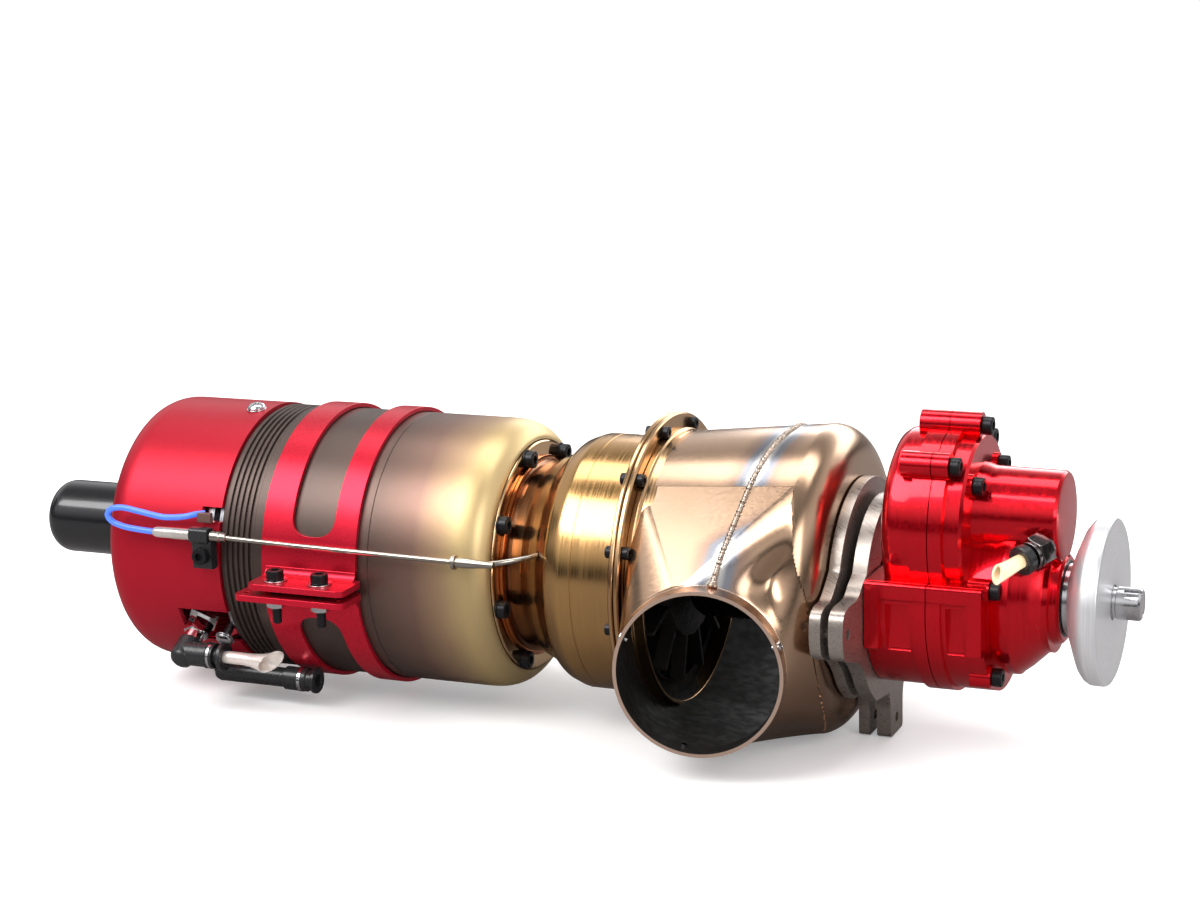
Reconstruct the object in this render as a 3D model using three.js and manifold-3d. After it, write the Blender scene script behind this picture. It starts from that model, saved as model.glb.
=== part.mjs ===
// A model turboprop turbine: gas generator, clamp, free power turbine, twin exhaust and reduction gearbox.
// Units are millimetres. +X runs along the shafts to the propeller flange, +Z is up.
// Stations along the engine are measured from the tail flange of the gas generator, radii from the main axis.

import * as THREE from 'three';
import Module from 'manifold-3d';
import { mergeVertices } from 'three/addons/utils/BufferGeometryUtils.js';
import { ConvexGeometry } from 'three/addons/geometries/ConvexGeometry.js';

// ---------------------------------------------------------------- driving sizes

const GAP = 0.3;                 // clearance between neighbouring pieces
const REAR_END = -182;           // closed end of the starter can
const AXIS_HEIGHT = 49.4;        // main axis above the bench

const SEG_BIG = 24;
const SEG_MID = 16;
const SEG_SMALL = 10;

const CASING_R = 44;             // outside of the gas generator casing
const WALL = 1.2;                // sheet metal wall
const CASING_FRONT = -91;        // cover meets casing
const CASING_FRONT_IN = CASING_R - 3;
const COVER_R = CASING_R + 0.5;
const COVER_FRONT = -135.4;
const COVER_WALL = 1.8;
const MOUTH_R = COVER_R - 7.5;   // intake opening in the cover

const STARTER_R = 12.6;
const STARTER_END = -128;
const SPINDLE_R = 1.5;

const GAS_SHAFT_R = 4;
const TUNNEL_R = 10;             // outside of the shaft tunnel
const BEARING_OUT_R = TUNNEL_R - 1.5;
const COMP_R = 31;               // compressor wheel exit radius
const COMP_EYE_R = 19;           // compressor wheel inlet radius
const COMP_BACK = -92;

const STRAP_R = CASING_R + GAP;  // inside of the clamp halves
const STRAP_WALL = 1.4;
const STRAP_START = -74.7;
const STRAP_END = -40.7;
const LUG_Z = -3.3;                // split plane of the clamp
const LUG_GAP = 2;
const LUG_T = 2;
const LUG_SCREW_Y = STRAP_R + 8.7;
const LUG_REACH = LUG_SCREW_Y + 6; // lug edge from the centre plane
const LUG_START = -78;
const LUG_END = -38.5;
const LUG_SCREW_X = [-65.5, -49.5];

const FLANGE_R = CASING_R - 6.6; // tail flange, inside the rolled end of the casing
const NECK_R = FLANGE_R - 6;
const NECK_BORE = NECK_R - 2.6;
const GAS_TURBINE_R = NECK_BORE - 2.3;
const DRUM_R = NECK_R + 9.6;
const DRUM_END = 46.7;
const RING_R = DRUM_R + 8;       // stacked ring flange
const RING_FACE = 50.5;
const RING_JOINT = 48.7;
const POWER_TURBINE_R = DRUM_R - 5;

const DUCT_INLET_X = RING_FACE + GAP;
const DUCT_INLET_R = RING_R - 6;
const DUCT_MAX_R = DUCT_INLET_R + 5.4;
const OUTLET_R = 25.6;
const OUTLET_X = RING_FACE + OUTLET_R + 3.9;
const DUCT_FRONT_X = OUTLET_X + OUTLET_R + 5.2;
const OUTLET_Z = -15.3;
const OUTLET_Y = DUCT_MAX_R + 11.6;
const OUTLET_TURN = 0.19;        // outlets lean towards the propeller, radians

const TUBE_R = 15;               // power bearing tube
const POWER_SHAFT_R = 4;
const POWER_BEARING_R = TUBE_R - 2.5;

const PLATE_T = 4.5;             // plate beside the gearbox
const REAR_PLATE_T = 3.5;
const PLATE_SPACE = 2.4;
const PLATE_FRONT = DUCT_FRONT_X + 0.5 + REAR_PLATE_T + PLATE_SPACE + PLATE_T;
const PLATE_R = 28;
const REAR_PLATE_R = PLATE_R + 4.8;
const PLATE_HOLE_Y = 45;
const PLATE_LOBE_Y = PLATE_HOLE_Y + 5;
const FOOT_Y = 4.5;              // middle of the foot
const FOOT_HALF = 6.5;

const GEAR_MODULE = 0.9;
const PINION_TEETH = 10;
const WHEEL_TEETH = 36;
const GEAR_FACE = 6;
const GEAR_1_X = PLATE_FRONT + 10.3;            // first stage, power pinion and lay wheel
const GEAR_2_X = GEAR_1_X + GEAR_FACE + 4.5;          // second stage, lay pinion and output wheel
const LAY_Z = GEAR_MODULE * (PINION_TEETH + WHEEL_TEETH) / 2;
const TOOTH_SLACK = 0.35;
const BOX_BACK = PLATE_FRONT + GAP;
const BOX_SPLIT = GEAR_2_X - 1.5;
const BOX_STEP = GEAR_2_X + GEAR_FACE + 2; // upper front face
const BOX_LOW_FACE = BOX_STEP + 7.1; // lower front face
const CAVITY_R = GEAR_MODULE * (WHEEL_TEETH / 2 + 1) + 1.2;
const DRUM_BOX_R = CAVITY_R + 11.2; // lower half, round the main axis
const LEDGE_Z = 9;
const HUMP_BACK = BOX_BACK + 3.6;
const HUMP_R = CAVITY_R + 9.5;   // upper half, round its own centre
const HUMP_Z = LAY_Z + 1.3;
const SCREW_BOSS_R = 3.5;
const LAY_SHAFT_R = 3;
const PROP_SHAFT_R = 5;
const PROP_BEARING_R = PROP_SHAFT_R + 5;
const NOSE_END = BOX_STEP + 25.9;

const DRIVER_BACK = NOSE_END + 2.2;
const DRIVER_FACE = DRIVER_BACK + 11.6;
const DRIVER_R = 25.3;
const STUB_END = DRIVER_FACE + 8.5; // tip of the propeller stud
const MID_LENGTH = (REAR_END + STUB_END) / 2;

// ---------------------------------------------------------------- helpers

const wasm = await Module();
wasm.setup();

// Weld corners, drop slivers and turn the faces outwards.
function clean(geometry) {
  const work = geometry.clone();
  work.deleteAttribute('normal');
  work.deleteAttribute('uv');
  const welded = mergeVertices(work, 1e-4);
  const p = welded.attributes.position.array;
  const kept = [];
  let volume = 0;
  for (let i = 0; i < welded.index.count; i += 3) {
    const [a, b, c] = [0, 1, 2].map((k) => welded.index.getX(i + k));
    if (a === b || b === c || c === a) continue;
    kept.push(a, b, c);
    const [u, v, w] = [a, b, c].map((k) => new THREE.Vector3(p[3 * k], p[3 * k + 1], p[3 * k + 2]));
    volume += u.dot(v.cross(w));
  }
  if (volume < 0) kept.reverse();
  const out = new THREE.BufferGeometry();
  out.setAttribute('position', new THREE.BufferAttribute(new Float32Array(p), 3));
  out.setIndex(kept);
  return out;
}

function solid(geometry) {
  const g = clean(geometry);
  const mesh = new wasm.Mesh({
    numProp: 3,
    vertProperties: new Float32Array(g.attributes.position.array),
    triVerts: new Uint32Array(g.index.array),
  });
  return new wasm.Manifold(mesh);
}

function surface(manifold) {
  const mesh = manifold.getMesh();
  const g = new THREE.BufferGeometry();
  g.setAttribute('position', new THREE.BufferAttribute(new Float32Array(mesh.vertProperties), 3));
  g.setIndex(Array.from(mesh.triVerts));
  return g;
}

function join(...pieces) {
  return surface(pieces.map(solid).reduce((a, b) => a.add(b)));
}

function cut(base, ...tools) {
  return surface(tools.map(solid).reduce((a, b) => a.subtract(b), solid(base)));
}

function keep(base, tool) {
  return surface(solid(base).intersect(solid(tool)));
}

// Turn a list of [station, radius] corners round the main axis. Ring profiles close on themselves.
function turn(corners, segments = SEG_MID, y = 0, z = 0) {
  const points = corners.map(([x, r]) => new THREE.Vector2(r, x));
  const onAxis = corners[0][1] === 0 && corners[corners.length - 1][1] === 0;
  if (!onAxis) points.push(points[0].clone());
  const g = new THREE.LatheGeometry(points, segments);
  g.rotateZ(-Math.PI / 2);
  g.translate(0, y, z);
  return g;
}

function rod(x0, x1, r, segments = SEG_MID, y = 0, z = 0) {
  return turn([[x0, 0], [x0, r], [x1, r], [x1, 0]], segments, y, z);
}

function ring(x0, x1, inner, outer, segments = SEG_MID, y = 0, z = 0) {
  return turn([[x0, inner], [x1, inner], [x1, outer], [x0, outer]], segments, y, z);
}

function block(x0, x1, y0, y1, z0, z1) {
  const g = new THREE.BoxGeometry(x1 - x0, y1 - y0, z1 - z0);
  g.translate((x0 + x1) / 2, (y0 + y1) / 2, (z0 + z1) / 2);
  return g;
}

// A plate lying across the engine, drawn as [y, z] corners and given a thickness along X.
function slab(corners, x0, x1) {
  const shape = new THREE.Shape(corners.map(([y, z]) => new THREE.Vector2(y, z)));
  const g = new THREE.ExtrudeGeometry(shape, { depth: x1 - x0, bevelEnabled: false });
  g.rotateY(Math.PI / 2);
  g.rotateX(Math.PI / 2);
  g.translate(x0, 0, 0);
  return g;
}

function aimed(geometry, from, direction) {
  const g = geometry.clone();
  const q = new THREE.Quaternion();
  q.setFromUnitVectors(new THREE.Vector3(1, 0, 0), new THREE.Vector3(...direction).normalize());
  g.applyQuaternion(q);
  g.translate(...from);
  return g;
}

function around(count, make, offset = 0) {
  return Array.from({ length: count }, (_, i) => {
    const g = make(i);
    g.rotateX(offset + (i * 2 * Math.PI) / count);
    return g;
  });
}

function tube(points, r, sides, steps) {
  const curve = new THREE.CatmullRomCurve3(points.map((p) => new THREE.Vector3(...p)));
  const shape = new THREE.Shape();
  for (let i = 0; i < sides; i += 1) {
    const a = (i * 2 * Math.PI) / sides;
    if (i === 0) shape.moveTo(r * Math.cos(a), r * Math.sin(a));
    else shape.lineTo(r * Math.cos(a), r * Math.sin(a));
  }
  shape.closePath();
  return new THREE.ExtrudeGeometry(shape, { steps, bevelEnabled: false, extrudePath: curve });
}

// Gear blank drawn as [y, z] corners with straight-sided teeth, slackened so that it runs free.
function gear(teeth, x0, x1, phase, z, bore) {
  const pitch = (GEAR_MODULE * teeth) / 2;
  const root = pitch - 1.2 * GEAR_MODULE;
  const tip = pitch + 0.85 * GEAR_MODULE;
  const atPitch = (Math.PI * GEAR_MODULE) / 2 - TOOTH_SLACK;
  const corners = [];
  for (let i = 0; i < teeth; i += 1) {
    const mid = phase + (i * 2 * Math.PI) / teeth;
    const foot = (atPitch * 1.45) / 2 / root;
    const head = (atPitch * 0.5) / 2 / tip;
    for (const [a, r] of [[-foot, root], [-head, tip], [head, tip], [foot, root]]) {
      corners.push([r * Math.cos(mid + a), r * Math.sin(mid + a) + z]);
    }
  }
  const blank = slab(corners, x0, x1);
  return bore > 0 ? cut(blank, rod(x0 - 1, x1 + 1, bore, SEG_MID, 0, z)) : blank;
}

function arc(cy, cz, r, from, to, count) {
  return Array.from({ length: count + 1 }, (_, i) => {
    const a = from + ((to - from) * i) / count;
    return [cy + r * Math.cos(a), cz + r * Math.sin(a)];
  });
}

const group = new THREE.Group();

function add(name, geometry, color, roughness, metalness) {
  const g = clean(geometry);
  g.translate(-MID_LENGTH, 0, AXIS_HEIGHT);
  const flat = g.toNonIndexed();
  flat.computeVertexNormals();
  const material = new THREE.MeshStandardMaterial({ color, roughness, metalness });
  const mesh = new THREE.Mesh(flat, material);
  mesh.name = name;
  group.add(mesh);
}

// ---------------------------------------------------------------- starter

add('starter_motor', cut(turn([
  [REAR_END, 0], [REAR_END, STARTER_R - 5.1], [REAR_END + 2, STARTER_R - 1.7], [REAR_END + 6, STARTER_R],
  [STARTER_END - 3, STARTER_R], [STARTER_END - 3, 5], [STARTER_END, 5], [STARTER_END, 0],
]), rod(STARTER_END - 8, STARTER_END + 1, SPINDLE_R + GAP, SEG_SMALL)), 0x1c1d20, 0.42, 0.35);

add('starter_spindle', turn([
  [STARTER_END - 7, 0], [STARTER_END - 7, SPINDLE_R], [STARTER_END + 5, SPINDLE_R],
  [STARTER_END + 5, 6], [STARTER_END + 11, 6], [STARTER_END + 11, 5], [STARTER_END + 7, 4.6],
  [STARTER_END + 7, 0],
], SEG_SMALL), 0xb9bcc2, 0.3, 1.0);

const SPOKE_OUT = COVER_R - COVER_WALL - GAP;
const BRACKET_FRONT = -140;
const BRACKET_BACK = -119.8;
add('starter_bracket', join(
  ring(BRACKET_FRONT, BRACKET_BACK, STARTER_R + GAP, STARTER_R + 2.6),
  keep(
    join(...around(3, () => (
      block(BRACKET_BACK - 5.4, BRACKET_BACK, -1.5, 1.5, STARTER_R + 1.4, COVER_R)
    ), Math.PI)),
    rod(BRACKET_FRONT, BRACKET_BACK + 1, SPOKE_OUT, SEG_BIG),
  ),
), 0x8f2026, 0.45, 0.7);

// ---------------------------------------------------------------- intake cover and compressor

const coverShell = turn([
  [CASING_FRONT - GAP, COVER_R], [COVER_FRONT + 7, COVER_R], [COVER_FRONT + 2.4, COVER_R - 1.6],
  [COVER_FRONT, COVER_R - 5], [COVER_FRONT, MOUTH_R], [COVER_FRONT + 1.8, MOUTH_R],
  [COVER_FRONT + 2.4, COVER_R - 6], [COVER_FRONT + 4.6, COVER_R - COVER_WALL - 1],
  [COVER_FRONT + 7.5, COVER_R - COVER_WALL], [CASING_FRONT - GAP, COVER_R - COVER_WALL],
], SEG_BIG);
const FUEL_ANGLE = 0.56;         // below the horizontal, radians
const FUEL_X = -104.6;
const NIPPLE_BASE = COVER_R - 4;
const FUEL_Z = -NIPPLE_BASE * Math.sin(FUEL_ANGLE);
const probeNotch = block(-98.5, CASING_FRONT + 1, -COVER_R - 2, 14.5 - COVER_R, 14, 18.6);
const fuelNotch = block(-110, CASING_FRONT + 1, -COVER_R - 2, 22.5 - COVER_R, FUEL_Z - 7, FUEL_Z + 5);
const COVER_SCREW = [-96.5, -6.4, COVER_R - 0.4];
const screwHole = aimed(rod(-12, 6, 1.9, SEG_SMALL), COVER_SCREW, [0, COVER_SCREW[1], COVER_SCREW[2]]);
add('intake_cover', cut(coverShell, probeNotch, fuelNotch, screwHole), 0xc3222e, 0.38, 0.55);

// Line that the blade tips run under, from the eye to the exit.
const tipLine = (shift, sink) => [
  [-107, COMP_EYE_R], [-101, COMP_EYE_R + 2.2], [-97, COMP_R - 3.4], [-95.6, COMP_R],
].map(([x, r]) => [x + shift, r - sink]);
const SPIGOT_R = COVER_R - COVER_WALL - GAP - 0.5;
add('compressor_shroud', cut(turn([
  [-119, MOUTH_R - 1], [-117, MOUTH_R - 4], [-113, COMP_EYE_R + 1.4], ...tipLine(0, -GAP), [-95.3, SPIGOT_R],
  [-97.5, SPIGOT_R], [-97.5, COMP_R + 2], [-103, COMP_EYE_R + 5], [-112, COMP_EYE_R + 4],
  [-115.4, MOUTH_R - 3], [-117, MOUTH_R + 0.4],
], SEG_BIG), fuelNotch, screwHole), 0xb4b7bb, 0.35, 0.9);

const blade = (x0, x1, r0, r1, thick, twist) => {
  const g = block(x0, x1, -thick / 2, thick / 2, r0, r1);
  const p = g.attributes.position;
  for (let i = 0; i < p.count; i += 1) {
    const lean = (twist * (p.getX(i) - x0)) / (x1 - x0);
    p.setY(i, p.getY(i) + lean);
  }
  return g;
};
const compressorBlades = around(7, () => blade(-106.4, COMP_BACK - 0.5, 5, COMP_R, 0.9, 3));
add('compressor_wheel', cut(join(
  turn([[-107, 0], [-107, 6.4], [-101, 9.5], [-96.5, 17], [-94, COMP_R - 1.4],
    [COMP_BACK, COMP_R - 1.4], [COMP_BACK, 9], [COMP_BACK + 3, 7], [COMP_BACK + 3, 0]]),
  keep(join(...compressorBlades), turn([
    [-106.5, 0], ...tipLine(0.5, 0.4), [COMP_BACK - 0.6, COMP_R - 0.4], [COMP_BACK - 0.6, 0],
  ])),
), rod(-109, -80, GAS_SHAFT_R + GAP)), 0xc9ccd0, 0.3, 1.0);

add('gas_shaft', turn([
  [-114, 0], [-114, 2.4], [-112.6, GAS_SHAFT_R + 1], [-107.3, GAS_SHAFT_R + 1], [-107.3, GAS_SHAFT_R - 0.2],
  [-84, GAS_SHAFT_R - 0.2], [-26, GAS_SHAFT_R], [-3, GAS_SHAFT_R], [-3, 0],
]), 0x9ea1a6, 0.28, 1.0);

add('diffuser', cut(join(
  ring(-93.2, -91.4, COMP_R + GAP, SPIGOT_R, SEG_BIG),
  ring(-91.6, -89, TUNNEL_R + 5, CASING_FRONT_IN - GAP, SEG_BIG),
  ...around(9, () => {
    const g = block(-95, -93, -0.7, 0.7, -4, 5);
    g.rotateX(-0.9);
    g.translate(0, 0, COMP_R + 5);
    return keep(g, rod(-96, -92, SPIGOT_R, SEG_BIG));
  }),
), screwHole), 0xa9adb2, 0.4, 0.9);

add('shaft_tunnel', turn([
  [-88.7, BEARING_OUT_R + GAP], [-22, BEARING_OUT_R + GAP], [-22, TUNNEL_R],
  [-85, TUNNEL_R], [-86.5, TUNNEL_R + 8], [-88.7, TUNNEL_R + 8],
]), 0xb0b3b8, 0.35, 0.9);
add('gas_bearing_front', ring(-84, -79, GAS_SHAFT_R + GAP, BEARING_OUT_R), 0xd0d2d6, 0.2, 1.0);
add('gas_bearing_rear', ring(-31, -26, GAS_SHAFT_R + GAP, BEARING_OUT_R), 0xd0d2d6, 0.2, 1.0);

// ---------------------------------------------------------------- combustion section

const LINER_FRONT = -80;
const LINER_BACK = -22;
const LINER_OUT = CASING_R - 6;
const LINER_IN = TUNNEL_R + 4;
const LINER_T = 0.8;
const liner = turn([
  [LINER_BACK, LINER_OUT - 6], [LINER_BACK - 8, LINER_OUT], [LINER_FRONT + 4, LINER_OUT],
  [LINER_FRONT, LINER_OUT - 4], [LINER_FRONT, LINER_IN + 3], [LINER_FRONT + 3, LINER_IN],
  [LINER_BACK, LINER_IN], [LINER_BACK, LINER_IN + LINER_T], [LINER_FRONT + 3.4, LINER_IN + LINER_T],
  [LINER_FRONT + LINER_T, LINER_IN + 3.4], [LINER_FRONT + LINER_T, LINER_OUT - 4.4],
  [LINER_FRONT + 4.4, LINER_OUT - LINER_T], [LINER_BACK - 8.4, LINER_OUT - LINER_T],
  [LINER_BACK, LINER_OUT - 6 - LINER_T],
]);
const linerHoles = around(6, () => aimed(rod(LINER_OUT - 8, LINER_OUT + 6, 2.4, 8), [-48, 0, 0], [0, 0, 1]), 0.26);
add('combustion_liner', cut(liner, ...linerHoles), 0x6d645c, 0.55, 0.9);

const MANIFOLD_R = (LINER_OUT + LINER_IN) / 2;
const sticks = around(6, () => rod(-73, -40, 1.2, 6, 0, MANIFOLD_R), 0.5);
add('fuel_manifold', join(
  ring(-74.4, -71.8, MANIFOLD_R - 1.6, MANIFOLD_R + 1.6),
  ...sticks,
), 0x8d8f92, 0.35, 1.0);

const turbineVanes = around(9, () => {
  const g = block(-19.6, -13.6, -0.6, 0.6, LINER_IN + 1.6, GAS_TURBINE_R + 0.9);
  return g;
});
add('nozzle_ring', join(
  ring(-20, -13, LINER_IN, LINER_IN + 2.4),
  ring(-21, -3.4, GAS_TURBINE_R + GAP, GAS_TURBINE_R + 1.8, SEG_BIG),
  ...turbineVanes,
), 0x7b736b, 0.5, 0.95);

const wheelBlades = (count, x0, x1, r0, r1) => around(count, () => {
  const g = block(-(x1 - x0) / 2, (x1 - x0) / 2, -0.6, 0.6, r0, r1);
  g.translate((x0 + x1) / 2, 0, 0);
  return g;
});
add('gas_turbine_wheel', cut(join(
  turn([[-12.4, 0], [-12.4, 7], [-11, 8], [-11.5, 18.4], [-6, 18.4], [-6, 8], [-4, 7], [-4, 0]]),
  ...wheelBlades(13, -11, -6.4, 17, GAS_TURBINE_R - 0.2),
), rod(-20, 0, GAS_SHAFT_R + GAP)), 0x8a8278, 0.45, 1.0);

// ---------------------------------------------------------------- casing and tail flange

const ribs = Array.from({ length: 5 }, (_, i) => [
  [CASING_FRONT + 1 + i * 2.4, CASING_R - 0.7], [CASING_FRONT + 2.2 + i * 2.4, CASING_R],
]).flat();
add('outer_casing', turn([
  [CASING_FRONT, CASING_FRONT_IN], [CASING_FRONT, CASING_R - 0.7], ...ribs.slice(1),
  [-8, CASING_R], [-2.5, CASING_R - 1], [1.8, CASING_R - 3.6], [2.6, FLANGE_R + GAP],
  [1.2, FLANGE_R + GAP], [0.2, CASING_R - 4.4], [-3.4, CASING_R - 1 - WALL],
  [-8, CASING_R - WALL], [CASING_FRONT + 14, CASING_R - WALL],
  [CASING_FRONT + 13, CASING_FRONT_IN],
], SEG_BIG), 0x5b4f49, 0.55, 0.85);

add('tail_flange', turn([
  [-2.6, NECK_BORE], [-2.6, NECK_R + 0.6], [1, NECK_R + 0.6], [1, FLANGE_R], [3.4, FLANGE_R],
  [3.4, NECK_BORE],
], SEG_BIG), 0xa58a66, 0.18, 1.0);

// ---------------------------------------------------------------- clamp

const SPAN = LUG_REACH + 1;
function clampHalf(sign) {
  const shell = ring(STRAP_START, STRAP_END, STRAP_R, STRAP_R + STRAP_WALL, SEG_BIG);
  const windowFrom = STRAP_START + 10.4;
  const windowTo = STRAP_END - 8.2;
  const inner = LUG_Z + sign * (LUG_GAP / 2);
  const outer = inner + sign * LUG_T;
  const [low, high] = sign > 0 ? [inner, SPAN] : [-SPAN, inner];
  const arch = keep(shell, block(STRAP_START - 1, STRAP_END + 1, -SPAN, SPAN, low, high));
  const open = cut(arch, block(windowFrom, windowTo, -SPAN, SPAN, ...(sign > 0 ? [9, SPAN] : [-SPAN, -13])));
  const [z0, z1] = sign > 0 ? [inner, outer] : [outer, inner];
  const start = sign > 0 ? LUG_START + 5 : LUG_START;
  const lugs = [-1, 1].map((side) => {
    const [y0, y1] = side > 0 ? [STRAP_R + 0.4, LUG_REACH] : [-LUG_REACH, -STRAP_R - 0.4];
    return block(start, LUG_END, y0, y1, z0, z1);
  });
  const bores = [-1, 1].flatMap((side) => LUG_SCREW_X.map((x) => (
    aimed(rod(-12, 12, 1.5 + GAP, SEG_SMALL), [x, side * LUG_SCREW_Y, LUG_Z], [0, 0, 1])
  )));
  return cut(join(open, ...lugs), ...bores);
}
add('clamp_upper', clampHalf(1), 0xc8232f, 0.4, 0.6);
add('clamp_lower', clampHalf(-1), 0xc2222d, 0.4, 0.6);

const LUG_TOP = LUG_Z + LUG_GAP / 2 + LUG_T + GAP;
const LUG_UNDER = LUG_Z - LUG_GAP / 2 - LUG_T - GAP;
for (const [side, sideName] of [[-1, 'near'], [1, 'far']]) {
  LUG_SCREW_X.forEach((x, i) => {
    const upright = aimed(turn([
      [LUG_UNDER - 4.4, 0], [LUG_UNDER - 4.4, 1.5], [LUG_TOP, 1.5], [LUG_TOP, 3.2],
      [LUG_TOP + 0.5, 3.2], [LUG_TOP + 0.5, 2.75], [LUG_TOP + 3.5, 2.75], [LUG_TOP + 3.5, 0],
    ], SEG_SMALL), [x, side * LUG_SCREW_Y, 0], [0, 0, 1]);
    add(`lug_screw_${sideName}_${i + 1}`, upright, 0x17181b, 0.35, 0.8);
  });
}
const nutCorners = (x0, x1) => turn([[x0, 1.5 + GAP], [x1, 1.5 + GAP], [x1, 3.1], [x0, 3.1]], 6);
for (const [side, sideName] of [[-1, 'near'], [1, 'far']]) {
  LUG_SCREW_X.forEach((x, i) => {
    const nut = aimed(nutCorners(LUG_UNDER - 2.4, LUG_UNDER), [x, side * LUG_SCREW_Y, 0], [0, 0, 1]);
    add(`lug_nut_${sideName}_${i + 1}`, nut, 0xc9ccd0, 0.28, 1.0);
  });
}

// ---------------------------------------------------------------- exhaust temperature probe

const PROBE_Y = -COVER_R - 2.6;
const PROBE_Z = 9;               // at the ferrule, the clip end sits higher
const PROBE_RISE = 1.7;
const PROBE_R = 0.9;
const probeTip = (r) => tube([
  [2, PROBE_Y + 0.2, PROBE_Z], [7, PROBE_Y + 1.8, PROBE_Z], [12, -NECK_R - 10.6, PROBE_Z + 0.4],
  [16, -NECK_R - 5.6, PROBE_Z + 0.6], [19.4, -NECK_R + 1.4, PROBE_Z + 0.6],
], r, 8, 10);
add('probe_tube', join(
  tube([[-91, PROBE_Y, PROBE_Z + PROBE_RISE], [-48, PROBE_Y - 0.4, PROBE_Z + PROBE_RISE / 2],
    [-4, PROBE_Y + 0.2, PROBE_Z]], PROBE_R, 8, 6),
  turn([[-5.6, 0], [-5.6, 2.1], [-1, 2.1], [4, 1.1], [4, 0]], SEG_SMALL, PROBE_Y + 0.2, PROBE_Z),
  probeTip(PROBE_R),
), 0x9a958c, 0.3, 1.0);

const CLIP_Z = PROBE_Z + PROBE_RISE;
const CLIP_BACK = -99.4;
const CLIP_FRONT = -91.5;
const CLIP_SCREW = [-94.8, PROBE_Y - 3.6, 4.6];
const clipBore = rod(-110, -80, PROBE_R + GAP, SEG_SMALL, PROBE_Y, CLIP_Z);
add('probe_clip', cut(join(
  block(CLIP_BACK, CLIP_FRONT, PROBE_Y - 2.2, -COVER_R - GAP, CLIP_Z - 2.6, CLIP_Z + 2.8),
  block(CLIP_BACK + 1, CLIP_FRONT, PROBE_Y - 0.8, -COVER_R - GAP, -0.5, CLIP_Z - 1),
), clipBore, aimed(rod(-10, 10, 1.5 + GAP, SEG_SMALL), CLIP_SCREW, [0, 1, 0])), 0x141417, 0.5, 0.2);
add('probe_clip_screw', aimed(turn([
  [0, 0], [0, 2.7], [2.5, 2.7], [2.5, 1.5], [4.8, 1.5], [4.8, 0],
], SEG_SMALL), CLIP_SCREW, [0, 1, 0]), 0x17181b, 0.35, 0.8);

const LEAD_R = 1.0;
const SLEEVE_BACK = -112.5;
add('probe_sleeve', cut(
  turn([[SLEEVE_BACK, 0], [SLEEVE_BACK, 1.9], [CLIP_BACK - GAP, 1.9], [CLIP_BACK - GAP, 0]],
    SEG_SMALL, PROBE_Y, CLIP_Z),
  rod(SLEEVE_BACK - 1, SLEEVE_BACK + 5, LEAD_R + GAP, SEG_SMALL, PROBE_Y, CLIP_Z),
), 0xcfc9c0, 0.35, 0.1);
add('probe_lead', tube([
  [SLEEVE_BACK + 4, PROBE_Y, CLIP_Z], [-116, PROBE_Y - 0.2, CLIP_Z + 0.2], [-124, PROBE_Y - 0.8, CLIP_Z + 0.8],
  [-129.6, PROBE_Y - 1, CLIP_Z + 3], [-129.4, PROBE_Y - 1, CLIP_Z + 6], [-124.6, PROBE_Y - 0.6, CLIP_Z + 7.4],
  [-118, PROBE_Y - 0.2, CLIP_Z + 6.2], [-110, PROBE_Y + 0.8, CLIP_Z + 5], [-103, PROBE_Y + 2.4, CLIP_Z + 6],
  [-97.6, PROBE_Y + 3.6, CLIP_Z + 6],
], LEAD_R, 8, 22), 0x5b8fe8, 0.45, 0.0);

// ---------------------------------------------------------------- fuel fittings

const OUTWARD = [0, -Math.cos(FUEL_ANGLE), -Math.sin(FUEL_ANGLE)];
const fuelAt = (distance) => [FUEL_X, OUTWARD[1] * distance, OUTWARD[2] * distance];
const ELBOW_D = COVER_R + 11.3;
const ELBOW_R = 4.1;
add('fuel_nipple', aimed(turn([
  [-3, 0], [-3, 2.4], [0, 2.4], [0, 4.6], [1, 4.6], [1, 3], [9.4, 3], [9.4, 1.8], [12.8, 1.8], [12.8, 0],
], 8), fuelAt(NIPPLE_BASE), OUTWARD), 0xd5d7da, 0.2, 1.0);
const COLLET_X = FUEL_X + 12;
const elbowCentre = fuelAt(ELBOW_D);
const fuelLine = (corners, segments = SEG_SMALL) => turn(corners, segments, elbowCentre[1], elbowCentre[2]);
add('fuel_elbow', cut(
  join(
    aimed(turn([[-5, 0], [-5, ELBOW_R], [3, ELBOW_R], [4.4, 3], [4.4, 0]], SEG_SMALL), elbowCentre, OUTWARD),
    fuelLine([[FUEL_X, 0], [FUEL_X, ELBOW_R], [COLLET_X, ELBOW_R], [COLLET_X, 0]]),
  ),
  aimed(rod(-6, -1.6, 1.8 + GAP, SEG_SMALL), elbowCentre, OUTWARD),
  fuelLine([[COLLET_X - 5.8, 0], [COLLET_X - 5.8, 2.9 + GAP], [COLLET_X + 1, 2.9 + GAP], [COLLET_X + 1, 0]]),
), 0x18191c, 0.4, 0.1);
add('fuel_collet', fuelLine([
  [COLLET_X - 3.8, 2 + GAP], [COLLET_X + 3.6, 2 + GAP], [COLLET_X + 3.6, 4.2], [COLLET_X + 1.6, 4.2],
  [COLLET_X + 1.6, 2.9], [COLLET_X - 3.8, 2.9],
]), 0x222327, 0.5, 0.1);
add('fuel_tube', fuelLine([
  [COLLET_X - 5.2, 1.2], [COLLET_X + 24, 1.2], [COLLET_X + 24, 2], [COLLET_X - 5.2, 2],
]), 0xe6d9b8, 0.3, 0.0);

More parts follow.
